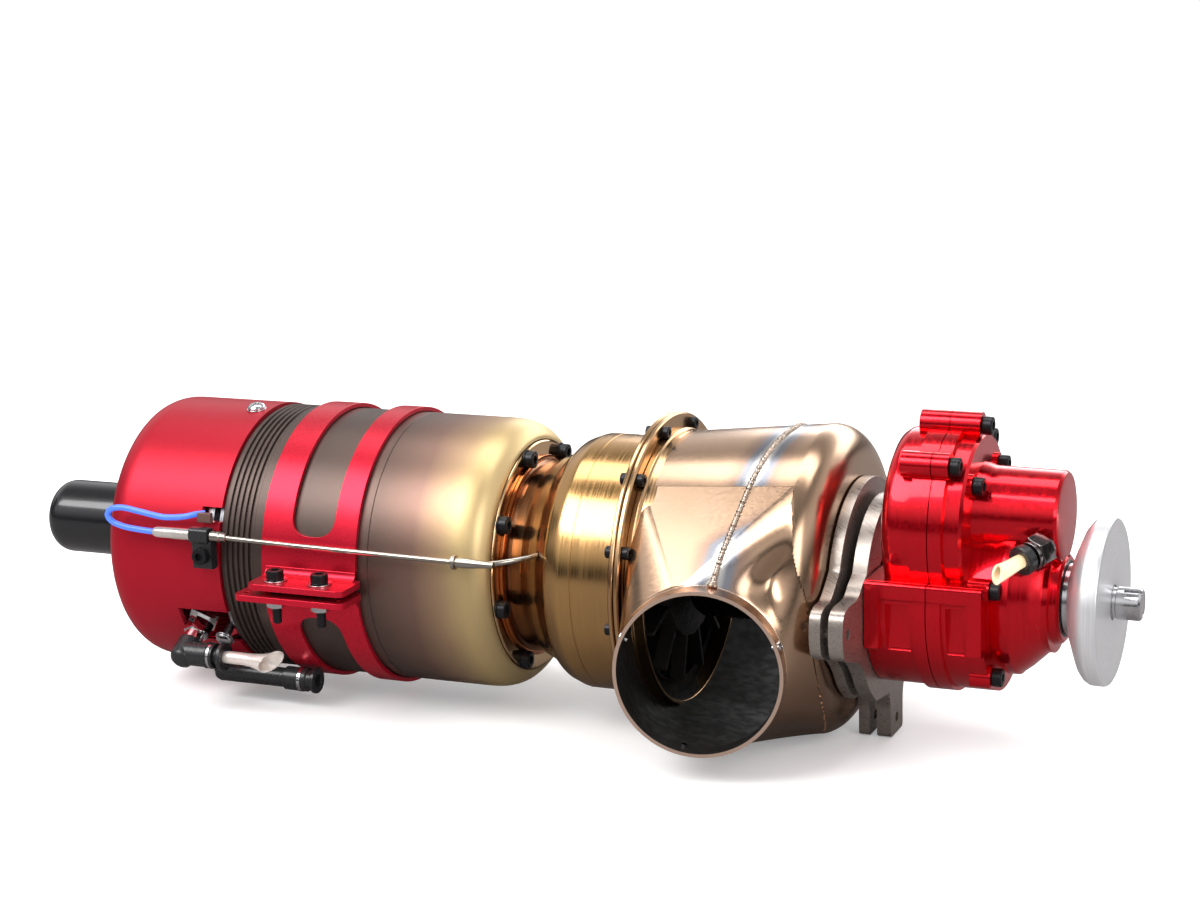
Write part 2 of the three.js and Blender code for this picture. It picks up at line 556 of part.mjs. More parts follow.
const GAS_ANGLE = 0.94;
const gasAt = (distance, x) => [x, -Math.cos(GAS_ANGLE) * distance, -Math.sin(GAS_ANGLE) * distance];
const gasLine = gasAt(COVER_R + 6, 0);
add('gas_fitting', join(
  aimed(turn([[0, 0], [0, 3.4], [6, 3.4], [7, 2.6], [7, 0]], SEG_SMALL), gasAt(COVER_R + GAP, -101), gasAt(1, 0)),
  turn([[-101, 0], [-101, 3.2], [-66, 3.2], [-66, 0]], SEG_SMALL, gasLine[1], gasLine[2]),
), 0x18191c, 0.4, 0.1);

// ---------------------------------------------------------------- power turbine section

add('interstage_duct', cut(turn([
  [3.8, NECK_BORE], [3.8, NECK_R - 0.2], [9, NECK_R], [15, NECK_R + 2.2], [19, NECK_R + 5.2],
  [23, DRUM_R - 0.8], [26, DRUM_R], [DRUM_END, DRUM_R], [DRUM_END, DRUM_R - WALL],
  [26.4, DRUM_R - WALL], [23.4, DRUM_R - 0.8 - WALL], [19.6, NECK_R + 5.3 - WALL],
  [15.6, NECK_R + 2.2 - WALL], [9, NECK_R - WALL], [6, NECK_BORE],
], SEG_BIG), probeTip(PROBE_R + GAP)), 0xa98a5c, 0.3, 1.0);

add('ring_flange_rear', ring(DRUM_END + GAP, RING_JOINT - GAP / 2, POWER_TURBINE_R + 2.8, RING_R, SEG_BIG),
  0x9b907f, 0.3, 1.0);
add('ring_flange_front', turn([
  [RING_JOINT + GAP / 2, POWER_TURBINE_R + 0.7], [RING_FACE, POWER_TURBINE_R + 0.7], [RING_FACE, RING_R - 1.4],
  [RING_FACE - 0.6, RING_R], [RING_JOINT + GAP / 2, RING_R],
], SEG_BIG), 0xa39a8a, 0.25, 1.0);
const STATOR_X = RING_JOINT - 0.4;
add('power_stator', join(
  turn([[STATOR_X - 6, 0], [STATOR_X - 10, 8], [STATOR_X - 8, 18], [STATOR_X - 1.4, 22], [STATOR_X - 0.4, 22],
    [STATOR_X - 0.4, 0]]),
  ring(STATOR_X - 9, STATOR_X, POWER_TURBINE_R + 0.7, POWER_TURBINE_R + 2.3),
  ...around(9, () => block(STATOR_X - 8, STATOR_X - 1, -0.6, 0.6, 18, POWER_TURBINE_R + 1.3), 0.1),
), 0x7b736b, 0.5, 0.95);
const WHEEL_X = RING_JOINT + 0.4;
add('power_turbine_wheel', cut(join(
  turn([[WHEEL_X, 0], [WHEEL_X, 9], [WHEEL_X + 1.6, 22], [WHEEL_X + 7, 22], [WHEEL_X + 8, 10],
    [WHEEL_X + 9.6, 8], [WHEEL_X + 9.6, 0]]),
  ...wheelBlades(13, WHEEL_X + 2, WHEEL_X + 6.6, 21, POWER_TURBINE_R),
), rod(40, 70, POWER_SHAFT_R + GAP)), 0x8a8278, 0.45, 1.0);

add('bearing_tube', turn([
  [60, POWER_BEARING_R + GAP], [PLATE_FRONT - 0.4, POWER_BEARING_R + GAP], [PLATE_FRONT - 0.4, TUBE_R],
  [62, TUBE_R], [60, TUBE_R - 1],
]), 0x55504b, 0.4, 0.9);
add('power_bearing_rear', ring(63, 69, POWER_SHAFT_R + GAP, POWER_BEARING_R), 0xd0d2d6, 0.2, 1.0);
add('power_bearing_front', ring(
  DUCT_FRONT_X - 2.8, DUCT_FRONT_X + 3.2, POWER_SHAFT_R + GAP, POWER_BEARING_R,
), 0xd0d2d6, 0.2, 1.0);

// ---------------------------------------------------------------- exhaust duct

function ringPoints(x, r, count = SEG_MID, phase = 0) {
  return Array.from({ length: count }, (_, i) => {
    const a = phase + (i * 2 * Math.PI) / count;
    return new THREE.Vector3(x, r * Math.sin(a), r * Math.cos(a));
  });
}
function outletPoints(side, r, y) {
  return ringPoints(0, r).map((p) => {
    const flat = new THREE.Vector3(p.y, 0, p.z);
    flat.applyAxisAngle(new THREE.Vector3(0, 0, 1), side * -OUTLET_TURN);
    return flat.add(new THREE.Vector3(OUTLET_X, side * y, OUTLET_Z));
  });
}
function ductHull(inset) {
  const body = [
    ...ringPoints(DUCT_INLET_X + inset, DUCT_INLET_R - inset),
    ...ringPoints(DUCT_FRONT_X - 8, DUCT_MAX_R - inset),
    ...ringPoints(DUCT_FRONT_X - inset, DUCT_MAX_R - 11 - inset),
  ];
  const lips = [-1, 1].flatMap((side) => outletPoints(side, OUTLET_R - inset, OUTLET_Y + (inset > 0 ? 0.02 : 0)));
  return new ConvexGeometry([...body, ...lips]);
}
const outletBore = (side) => aimed(
  rod(-8, 30, OUTLET_R - WALL),
  [OUTLET_X, side * OUTLET_Y, OUTLET_Z],
  [Math.sin(OUTLET_TURN), side * Math.cos(OUTLET_TURN), 0],
);
add('exhaust_duct', cut(
  ductHull(0),
  ductHull(WALL),
  rod(DUCT_INLET_X - 2, DUCT_INLET_X + 4, POWER_TURBINE_R + 0.8, SEG_BIG),
  rod(DUCT_FRONT_X - 6, DUCT_FRONT_X + 4, TUBE_R + GAP),
  outletBore(-1),
  outletBore(1),
), 0xb7a48f, 0.22, 1.0);

// ---------------------------------------------------------------- mount plates

function plateOutline(top) {
  const ear = (side) => [
    ...arc(0, 0, top, Math.PI / 2, 0.36, 6),
    [top + 3, 7.6], [top + 8, 4.6], [PLATE_LOBE_Y - 5, 4.6], [PLATE_LOBE_Y - 1, 3],
    [PLATE_LOBE_Y, 0], [PLATE_LOBE_Y, -6], [PLATE_LOBE_Y - 1.6, -10], [PLATE_LOBE_Y - 8, -12.4],
    [35, -15], [29, -20], [24, -26.5], [17, -32.5],
  ].map(([y, z]) => [side * y, z]);
  return [
    ...ear(1),
    [FOOT_Y + FOOT_HALF + 1.5, -35], [FOOT_Y + FOOT_HALF, -38], [FOOT_Y + FOOT_HALF, -AXIS_HEIGHT],
    [FOOT_Y - FOOT_HALF, -AXIS_HEIGHT], [FOOT_Y - FOOT_HALF, -38], [FOOT_Y - FOOT_HALF - 1.5, -35],
    ...ear(-1).slice(1).reverse(),
  ];
}
function mountPlate(x0, x1, top) {
  const holes = [-1, 1].map((side) => rod(x0 - 1, x1 + 1, 1.6, SEG_SMALL, side * PLATE_HOLE_Y, -3.3));
  const foot = rod(x0 - 1, x1 + 1, 1.6, SEG_SMALL, FOOT_Y, 4.9 - AXIS_HEIGHT);
  return cut(slab(plateOutline(top), x0, x1), rod(x0 - 1, x1 + 1, TUBE_R + GAP), ...holes, foot);
}
const REAR_PLATE_FRONT = PLATE_FRONT - PLATE_T - PLATE_SPACE;
const REAR_PLATE_BACK = REAR_PLATE_FRONT - REAR_PLATE_T;
add('mount_plate_front', mountPlate(PLATE_FRONT - PLATE_T, PLATE_FRONT, PLATE_R), 0xa79c92, 0.42, 0.9);
add('mount_plate_rear', mountPlate(REAR_PLATE_BACK, REAR_PLATE_FRONT, REAR_PLATE_R), 0xa2978d, 0.42, 0.9);

// ---------------------------------------------------------------- gearbox

const PINION_SEAT_R = (GEAR_MODULE * PINION_TEETH) / 2 - 1.5;
add('power_shaft', join(
  turn([[49, 0], [49, POWER_SHAFT_R], [GEAR_1_X + 1, PINION_SEAT_R], [GEAR_1_X + 1, 0]]),
  gear(PINION_TEETH, GEAR_1_X, GEAR_1_X + GEAR_FACE, Math.PI / 2, 0, 0),
  rod(GEAR_1_X + GEAR_FACE - 1, GEAR_1_X + GEAR_FACE + 1.4, 2),
), 0xb4b7bb, 0.28, 1.0);

const wheelPhase = -Math.PI / 2 + Math.PI / WHEEL_TEETH;
add('layshaft', join(
  rod(HUMP_BACK + 3.5, BOX_STEP + 6, LAY_SHAFT_R, SEG_SMALL, 0, LAY_Z),
  gear(WHEEL_TEETH, GEAR_1_X, GEAR_1_X + GEAR_FACE, wheelPhase, LAY_Z, 0),
  gear(PINION_TEETH, GEAR_2_X, GEAR_2_X + GEAR_FACE, -Math.PI / 2, LAY_Z, 0),
), 0xb0b2b5, 0.3, 1.0);
add('output_gear', gear(WHEEL_TEETH, GEAR_2_X, GEAR_2_X + GEAR_FACE, Math.PI / 2 + Math.PI / WHEEL_TEETH, 0,
  PROP_SHAFT_R + GAP), 0xa8aaad, 0.3, 1.0);
add('prop_shaft', turn([
  [GEAR_2_X - 1, 0], [GEAR_2_X - 1, PROP_SHAFT_R],
  [STUB_END, PROP_SHAFT_R], [STUB_END, 0],
]), 0xc2c4c8, 0.25, 1.0);

const cavity = (x0, x1) => join(
  rod(x0, x1, CAVITY_R),
  rod(x0, x1, CAVITY_R, SEG_MID, 0, LAY_Z),
);
const lowerDrum = (x0, x1) => keep(
  rod(x0, x1, DRUM_BOX_R, SEG_BIG),
  block(x0 - 1, x1 + 1, -40, 40, -40, LEDGE_Z),
);
const BOSS_TURN = 0.7948;        // place of the side bosses round the hump, radians
const BOSS_Y = (HUMP_R + 2.18) * Math.cos(BOSS_TURN);
const BOSS_Z = HUMP_Z + (HUMP_R + 2.18) * Math.sin(BOSS_TURN);
const BOSS_PLACES = [[0, HUMP_Z + HUMP_R + 1.8], [-BOSS_Y, BOSS_Z], [BOSS_Y, BOSS_Z]];
add('gearbox_rear', cut(
  join(
    lowerDrum(BOX_BACK, BOX_SPLIT - GAP),
    turn([[HUMP_BACK, 0], [HUMP_BACK, HUMP_R - 3], [HUMP_BACK + 3.4, HUMP_R], [BOX_SPLIT - GAP, HUMP_R],
      [BOX_SPLIT - GAP, 0]], SEG_BIG, 0, HUMP_Z),
    ...BOSS_PLACES.map(([y, z]) => rod(BOX_SPLIT - 7, BOX_SPLIT - GAP, SCREW_BOSS_R, SEG_SMALL, y, z)),
  ),
  cavity(HUMP_BACK + 3, BOX_SPLIT + 1),
  rod(BOX_BACK - 1, BOX_BACK + 10, POWER_SHAFT_R + 1.2),
), 0xc2202a, 0.3, 0.75);

const LAY_BOSS_Z = LAY_Z + 4.3;
const LAY_BOSS_R = 14.2;
const VENT_FROM = [NOSE_END - 3, -LAY_BOSS_R - 0.4, LAY_BOSS_Z - 5.4];
const VENT_AIM = [-0.46, -0.87, -0.19];
add('gearbox_front', cut(
  join(
    lowerDrum(BOX_SPLIT, BOX_LOW_FACE),
    rod(BOX_SPLIT, BOX_STEP, HUMP_R, SEG_BIG, 0, HUMP_Z),
    ...BOSS_PLACES.map(([y, z]) => (
      rod(BOX_SPLIT, y === 0 ? BOX_STEP - 0.4 : BOX_SPLIT + 5, SCREW_BOSS_R, SEG_SMALL, y, z)
    )),
    rod(BOX_STEP - 1, NOSE_END - 0.4, LAY_BOSS_R, SEG_MID, 0, LAY_BOSS_Z),
    turn([[BOX_STEP - 1, 0], [BOX_STEP - 1, 21], [NOSE_END - 12.4, 23], [NOSE_END - 9.4, 21.8],
      [NOSE_END - 4.8, 16.5], [NOSE_END - 2.8, 16.5], [NOSE_END - 2.8, PROP_BEARING_R + 3.4],
      [NOSE_END, PROP_BEARING_R + 2.6], [NOSE_END, 0]]),
  ),
  cavity(BOX_SPLIT - 1, BOX_STEP - 1.2),
  rod(BOX_STEP - 2, NOSE_END + 13, PROP_SHAFT_R + 1.4),
  rod(BOX_STEP + 1.2, NOSE_END - 3, PROP_BEARING_R + GAP),
  rod(BOX_STEP - 2, BOX_STEP + 8, LAY_SHAFT_R + GAP, SEG_SMALL, 0, LAY_Z),
  aimed(rod(-GAP, 14, 5 + GAP, SEG_SMALL), VENT_FROM, VENT_AIM),
), 0xc6202b, 0.28, 0.8);
add('prop_bearing', ring(BOX_STEP + 2, BOX_STEP + 9, PROP_SHAFT_R + GAP, PROP_BEARING_R), 0xd0d2d6, 0.2, 1.0);

// ---------------------------------------------------------------- vent fitting on the gearbox

add('vent_body', aimed(turn([
  [0, 0], [0, 4.4], [3.4, 4.4], [3.4, 5], [8.4, 5], [8.4, 3 + GAP], [3.6, 3 + GAP], [3.6, 0],
], SEG_SMALL), VENT_FROM, VENT_AIM), 0x3a3a3d, 0.3, 0.9);
add('vent_collet', aimed(turn([
  [5.2, 2.1 + GAP], [11.4, 2.1 + GAP], [11.4, 4.4], [9.6, 4.4], [9.6, 3], [5.2, 3],
], SEG_SMALL), VENT_FROM, VENT_AIM), 0x1c1d20, 0.5, 0.1);
add('vent_tube', aimed(turn([
  [4, 1.2], [21, 1.2], [21, 2.1], [4, 2.1],
], SEG_SMALL), VENT_FROM, VENT_AIM), 0xe0cfa6, 0.4, 0.0);

// ---------------------------------------------------------------- propeller flange

add('spacer_ring', ring(
  NOSE_END + GAP, DRIVER_BACK - GAP, PROP_SHAFT_R + GAP, PROP_BEARING_R + 0.8,
), 0xc8cacd, 0.25, 1.0);
add('prop_driver', turn([
  [DRIVER_BACK, PROP_SHAFT_R + GAP], [DRIVER_BACK, DRIVER_R - 12.7], [DRIVER_BACK + 3.4, DRIVER_R - 3.7],
  [DRIVER_BACK + 5.7, DRIVER_R - 0.7], [DRIVER_BACK + 7.4, DRIVER_R], [DRIVER_FACE - 0.8, DRIVER_R],
  [DRIVER_FACE, DRIVER_R - 0.8], [DRIVER_FACE, PROP_SHAFT_R + GAP],
], SEG_BIG), 0xd4d5d8, 0.3, 0.95);

export default group;
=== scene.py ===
"""A model turboprop turbine drawn over its shared frame.

Every shape is worked out in engine millimetres: the first coordinate is the station along the
shafts, counted from the tail flange of the gas generator, the other two are measured from the
main axis. They are turned into metres in the shared frame when a piece is made.
"""

import logging
import math
from dataclasses import dataclass, field
from enum import Enum
from functools import cached_property
from typing import Callable, Iterable, Sequence

import bpy
import numpy as np
from mathutils import Matrix, Vector
from mathutils.bvhtree import BVHTree
from mathutils.geometry import delaunay_2d_cdt


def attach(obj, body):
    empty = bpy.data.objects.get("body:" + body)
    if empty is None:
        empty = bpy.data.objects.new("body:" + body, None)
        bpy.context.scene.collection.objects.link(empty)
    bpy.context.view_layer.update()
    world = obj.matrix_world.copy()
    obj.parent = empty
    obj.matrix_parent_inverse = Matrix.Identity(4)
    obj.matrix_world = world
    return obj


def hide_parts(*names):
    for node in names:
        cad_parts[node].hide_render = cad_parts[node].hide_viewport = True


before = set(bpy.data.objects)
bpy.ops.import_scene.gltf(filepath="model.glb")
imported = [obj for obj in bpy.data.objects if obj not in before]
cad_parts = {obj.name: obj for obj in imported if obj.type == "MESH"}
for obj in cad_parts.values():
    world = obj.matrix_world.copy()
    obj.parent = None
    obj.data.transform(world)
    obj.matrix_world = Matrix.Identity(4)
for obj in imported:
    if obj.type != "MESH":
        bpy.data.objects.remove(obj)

LOG = logging.getLogger("turboprop")
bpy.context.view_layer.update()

MID_STATION = 8.35  # station of the middle of the object's length
AXIS_HEIGHT = 49.4  # main axis above the bench
GAP = 0.3  # clearance between pieces that don't touch
AHEAD, UP = (1, 0, 0), (0, 0, 1)

TURN = 2 * math.pi
FINE = 48  # corners round small turned pieces
FINE_ANGLES = np.arange(FINE) * (TURN / FINE)

Corners = Sequence[Sequence[float]]
Face = tuple[int, ...]
Colour = tuple[float, float, float]
Socket = bpy.types.NodeSocket
Tree = bpy.types.NodeTree
Inputs = bpy.types.bpy_prop_collection


class Body(str, Enum):
    """Moving bodies of the frame that a piece can ride on."""

    ENGINE = "engine"
    GAS_ROTOR = "gas_rotor"
    STARTER = "starter_drive"
    POWER_ROTOR = "power_rotor"
    LAY_GEAR = "lay_gear"
    PROPELLER = "propeller_flange"
    ELBOW = "elbow"
    ELBOW_COLLET = "elbow_collet"
    VENT_RING = "vent_ring"


# ---------- shapes


@dataclass
class Shape:
    """Corners and faces of one mesh, in engine millimetres.

    Attributes:
        points: n rows of station, y and z.
        faces: corner numbers of each face, counter-clockwise seen from outside.
    """

    points: np.ndarray
    faces: list[Face]

    def moved(self, x: float = 0.0, y: float = 0.0, z: float = 0.0) -> "Shape":
        """Returns a copy shifted by x, y and z."""
        return Shape(self.points + np.array([x, y, z]), self.faces)

    def turned(self, angle: float) -> "Shape":
        """Returns a copy turned by an angle in radians about the main axis."""
        c, s = math.cos(angle), math.sin(angle)
        spin = np.array([[1, 0, 0], [0, c, s], [0, -s, c]])
        return Shape(self.points @ spin, self.faces)

    def aimed(self, start: Sequence[float], direction: Sequence[float]) -> "Shape":
        """Returns a copy whose first axis points along direction, with its zero at start."""
        turn = Vector((1, 0, 0)).rotation_difference(Vector(direction))
        matrix = np.array(turn.to_matrix())
        return Shape(self.points @ matrix.T + np.array(start), self.faces)

    def flipped(self) -> "Shape":
        """Returns a copy mirrored across the centre plane, with its faces still outwards."""
        points = self.points * np.array([1.0, -1.0, 1.0])
        return Shape(points, turned_out(self.faces))

    def facing(self, as_drawn: bool) -> "Shape":
        """Returns the shape itself or, for the other side, its mirror image."""
        return self if as_drawn else self.flipped()


def merged(shapes: Iterable[Shape]) -> Shape:
    """Puts several shapes into one.

    Args:
        shapes: the shapes, each kept as its own closed shell.

    Returns:
        One shape with the corners and faces of all of them.
    """
    points, faces, start = [], [], 0
    for shape in shapes:
        points.append(shape.points)
        faces.extend(tuple(i + start for i in f) for f in shape.faces)
        start += len(shape.points)
    return Shape(np.vstack(points), faces)


def ring_faces(rings: int, around: int, wrap: bool) -> list[Face]:
    """Quads of a grid of rings, each ring closed on itself.

    Args:
        rings: number of rings.
        around: corners in each ring.
        wrap: whether the last ring joins the first.

    Returns:
        The faces, facing out when the rings follow a profile from low to high station.
    """
    last = rings if wrap else rings - 1
    i, j = np.meshgrid(np.arange(last), np.arange(around), indexing="ij")
    after, beside = (i + 1) % rings, (j + 1) % around
    quads = np.stack(
        [i * around + j, i * around + beside, after * around + beside, after * around + j], -1
    )
    return [tuple(int(k) for k in q) for q in quads.reshape(-1, 4)]


def pole_faces(count: int, around: int) -> list[Face]:
    """Triangles that close the first and the last ring with the corners count and count + 1."""
    top = count - around
    pairs = [(j, (j + 1) % around) for j in range(around)]
    return [f for j, k in pairs for f in ((count, k, j), (count + 1, top + j, top + k))]


def turned_out(faces: list[Face]) -> list[Face]:
    """Turns every face over."""
    return [tuple(reversed(f)) for f in faces]


def lathe(profile: Corners, segments: int = 128, y: float = 0.0, z: float = 0.0) -> Shape:
    """Turns a profile round the main axis: a corner at station x and radius r goes to
    (x, r sin a, r cos a) for equal steps of the angle a.

    Args:
        profile: [station, radius] corners. A profile that starts and ends on the axis makes a
            solid bar, any other one closes on itself and makes a ring.
        segments: steps round the axis.
        y: sideways shift of the axis.
        z: upward shift of the axis.

    Returns:
        The closed shape.
    """
    rows = np.array(profile, float)
    solid = rows[0, 1] < 1e-9 and rows[-1, 1] < 1e-9
    body = rows[1:-1] if solid else rows
    area = np.sum(rows[:, 0] * np.roll(rows[:, 1], -1) - np.roll(rows[:, 0], -1) * rows[:, 1])
    angle = np.arange(segments) * (TURN / segments)
    x = np.repeat(body[:, :1], segments, 1)
    points = np.stack([x, body[:, 1:] * np.sin(angle), body[:, 1:] * np.cos(angle)], -1)
    points = points.reshape(-1, 3)
    faces = ring_faces(len(body), segments, not solid)
    if solid:
        faces += pole_faces(len(points), segments)
        points = np.vstack([points, [[rows[0, 0], 0, 0], [rows[-1, 0], 0, 0]]])
    return Shape(points, turned_out(faces) if area > 0 else faces).moved(0, y, z)


def rounded(profile: Corners, radius: float, steps: int = 4) -> list[tuple[float, float]]:
    """Rounds the corners of a closed outline with short arcs.

    Args:
        profile: corners of the closed outline.
        radius: size of the rounding, limited to 45% of the shorter side at each corner.
        steps: straight parts in each arc.

    Returns:
        The corners of the rounded outline.
    """
    rows = np.array(profile, float)
    out: list[tuple[float, float]] = []
    for i, here in enumerate(rows):
        before, after = rows[i - 1] - here, rows[(i + 1) % len(rows)] - here
        reach = min(radius, 0.45 * np.linalg.norm(before), 0.45 * np.linalg.norm(after))
        a = here + before / np.linalg.norm(before) * reach
        b = here + after / np.linalg.norm(after) * reach
        for t in np.linspace(0, 1, steps + 1):
            p = (1 - t) ** 2 * a + 2 * t * (1 - t) * here + t**2 * b
            out.append((float(p[0]), float(p[1])))
    return out


def rod(x0: float, x1: float, r: float, segments: int = 48, y: float = 0, z: float = 0) -> Shape:
    """A round bar from station x0 to x1."""
    return lathe([(x0, 0), (x0, r), (x1, r), (x1, 0)], segments, y, z)


def ring(
    x0: float, x1: float, inner: float, outer: float, segments: int = 128, y: float = 0, z: float = 0
) -> Shape:
    """A ring of rectangular section from station x0 to x1."""
    return lathe([(x0, inner), (x1, inner), (x1, outer), (x0, outer)], segments, y, z)


def spline(points: Corners, count: int) -> np.ndarray:
    """Passes a smooth line through points: each stretch is a cubic whose slope at a point is half
    the step between its neighbours.

    Args:
        points: rows of coordinates.
        count: number of points returned, evenly spaced in parameter.

    Returns:
        The points of the line, one row each.
    """
    p = np.array(points, float)
    slope = np.gradient(p, axis=0)
    t = np.linspace(0, len(p) - 1, count)
    i = np.clip(t.astype(int), 0, len(p) - 2)
    f = (t - i)[:, None]
    h00, h10 = 2 * f**3 - 3 * f**2 + 1, f**3 - 2 * f**2 + f
    h01, h11 = -2 * f**3 + 3 * f**2, f**3 - f**2
    return h00 * p[i] + h10 * slope[i] + h01 * p[i + 1] + h11 * slope[i + 1]


def pipe(
    path: np.ndarray,
    radius: Callable[[np.ndarray], np.ndarray] | float,
    sides: int = 24,
    flat: float = 1.0,
) -> Shape:
    """Sweeps a circle along a path, carried from point to point without twist.

    Args:
        path: points of the centre line.
        radius: one radius, or a function of the distance along the path.
        sides: corners round the pipe.
        flat: height of the section against its width.

    Returns:
        The pipe, closed at both ends.
    """
    step = np.gradient(path, axis=0)
    tangent = step / np.linalg.norm(step, axis=1, keepdims=True)
    length = np.concatenate([[0], np.cumsum(np.linalg.norm(np.diff(path, axis=0), axis=1))])
    size = radius(length) if callable(radius) else np.full(len(path), radius)
    across = np.cross(tangent[0], [0.0, 0.0, 1.0])
    if np.linalg.norm(across) < 0.1:
        across = np.cross(tangent[0], [0.0, 1.0, 0.0])
    rows = []
    angle = np.arange(sides) * (TURN / sides)
    for centre, along, r in zip(path, tangent, size):
        across = across - along * (across @ along)
        across /= np.linalg.norm(across)
        up = np.cross(across, along)
        rows.append(
            centre + r * (np.outer(np.cos(angle), across) + flat * np.outer(np.sin(angle), up))
        )
    points = np.vstack(rows + [path[:1], path[-1:]])
    faces = ring_faces(len(path), sides, False) + pole_faces(len(path) * sides, sides)
    return Shape(points, turned_out(faces))


def flat_pattern(
    outline: Corners, holes: Sequence[Corners] = (), step: float = 0.0
) -> tuple[np.ndarray, list[Face]]:
    """Fills a flat outline with triangles, leaving its holes open.

    Args:
        outline: corners of the outer edge, counter-clockwise.
        holes: corners of each hole.
        step: spacing of extra corners inside, none if zero.

    Returns:
        The corners as rows, and the triangles, counter-clockwise.
    """
    loops = [list(map(tuple, outline))] + [list(map(tuple, h)) for h in holes]
    verts, edges = [], []
    for loop in loops:
        start = len(verts)
        verts.extend(Vector(p) for p in loop)
        edges.extend((start + i, start + (i + 1) % len(loop)) for i in range(len(loop)))
    if step > 0:
        low, high = np.min(outline, 0), np.max(outline, 0)
        for a in np.arange(low[0] + step / 2, high[0], step):
            for b in np.arange(low[1] + step / 2, high[1], step):
                if near_edge(a, b, loops) > step * 0.35 and inside(a, b, loops[0]):
                    if not any(inside(a, b, h) for h in loops[1:]):
                        verts.append(Vector((a, b)))
    out, _, faces, *_ = delaunay_2d_cdt(verts, edges, [list(range(len(loops[0])))], 1, 1e-5)
    kept = []
    for f in faces:
        mid = sum((out[i] for i in f), Vector((0, 0))) / len(f)
        if not any(inside(mid.x, mid.y, h) for h in loops[1:]):
            area = (out[f[1]] - out[f[0]]).cross(out[f[2]] - out[f[0]])
            kept.append(tuple(f) if area > 0 else tuple(reversed(f)))
    return np.array([[v.x, v.y] for v in out]), kept


def inside(a: float, b: float, loop: Corners) -> bool:
    """Tells whether a point lies inside a closed loop, by counting the sides it looks across."""
    p = np.array(loop, float)
    q = np.roll(p, -1, 0)
    crosses = (p[:, 1] > b) != (q[:, 1] > b)
    with np.errstate(divide="ignore", invalid="ignore"):
        at = p[:, 0] + (b - p[:, 1]) / (q[:, 1] - p[:, 1]) * (q[:, 0] - p[:, 0])
    return bool(np.sum(crosses & (at > a)) % 2)


def near_edge(a: float, b: float, loops: Sequence[Corners]) -> float:
    """Distance from a point to the closest corner of any loop."""
    return min(float(np.min(np.hypot(*(np.array(l, float) - [a, b]).T))) for l in loops)


def shell_of(
    points: np.ndarray, triangles: list[Face], lower: np.ndarray, upper: np.ndarray
) -> Shape:
    """Makes a closed plate from a flat pattern and its two mapped faces.

    Args:
        points: corners of the flat pattern.
        triangles: its triangles.
        lower: where each corner goes on the lower face.
        upper: where each corner goes on the upper face.

    Returns:
        The plate, with walls along every edge that only one triangle uses.
    """
    count = len(points)
    faces = [tuple(reversed(t)) for t in triangles]
    faces += [tuple(i + count for i in t) for t in triangles]
    used: dict[tuple[int, int], int] = {}
    for t in triangles:
        for a, b in zip(t, t[1:] + t[:1]):
            used[(a, b)] = 1
    for a, b in used:
        if (b, a) not in used:
            faces.append((a, b, b + count, a + count))
    return Shape(np.vstack([lower, upper]), faces)


def plate(outline: Corners, holes: Sequence[Corners], x0: float, x1: float) -> Shape:
    """A flat plate across the engine.

    Args:
        outline: [y, z] corners of the edge.
        holes: [y, z] corners of each hole.
        x0: station of its back face.
        x1: station of its front face.

    Returns:
        The plate as a closed shape.
    """
    flat, triangles = flat_pattern(outline, holes)
    lower = np.column_stack([np.full(len(flat), x0), flat])
    upper = np.column_stack([np.full(len(flat), x1), flat])
    return shell_of(flat, triangles, lower, upper)


def circle(a: float, b: float, r: float, count: int = 32) -> list[tuple[float, float]]:
    """Corners of a round hole."""
    t = np.arange(count) * (TURN / count)
    return [(a + r * math.cos(k), b + r * math.sin(k)) for k in t]


def arc(a: float, b: float, r: float, start: float, end: float, count: int) -> list[tuple[float, float]]:
    """Corners along part of a circle, angles in radians."""
    t = np.linspace(start, end, count + 1)
    return [(a + r * math.cos(k), b + r * math.sin(k)) for k in t]


def slab(x0: float, x1: float, y0: float, y1: float, z0: float, z1: float, corner: float = 0.6) -> Shape:
    """A block with rounded long edges, running from x0 to x1."""
    outline = rounded([(y0, z0), (y1, z0), (y1, z1), (y0, z1)], corner)
    return plate(outline, [], x0, x1)


def around(shape: Shape, count: int, phase: float = 0.0) -> list[Shape]:
    """Copies of a shape spaced evenly round the main axis."""
    return [shape.turned(phase + i * TURN / count) for i in range(count)]


def hexagon_radii(flat: float) -> np.ndarray:
    """Radius of a hexagon at each corner of a fine ring: the distance of its flats over the cosine
    of the angle folded into one sixth of a turn."""
    return flat / np.cos((FINE_ANGLES + math.pi / 6) % (math.pi / 3) - math.pi / 6)


def ring_stack(rows: Sequence[tuple[float, float | np.ndarray]], hollow: bool = False) -> Shape:
    """Joins fine rings along the first axis into a closed shape.

    Args:
        rows: station of each ring and its radius, one number or one for each corner.
        hollow: whether the last ring joins the first. Flat ends close the shape otherwise.

    Returns:
        The shape.
    """
    sine, cosine = np.sin(FINE_ANGLES), np.cos(FINE_ANGLES)
    points = np.vstack([np.column_stack([np.full(FINE, x), r * sine, r * cosine]) for x, r in rows])
    faces = ring_faces(len(rows), FINE, hollow)
    if not hollow:
        last = (len(rows) - 1) * FINE
        faces += [tuple(range(FINE - 1, -1, -1)), tuple(range(last, last + FINE))]
    return Shape(points, turned_out(faces))


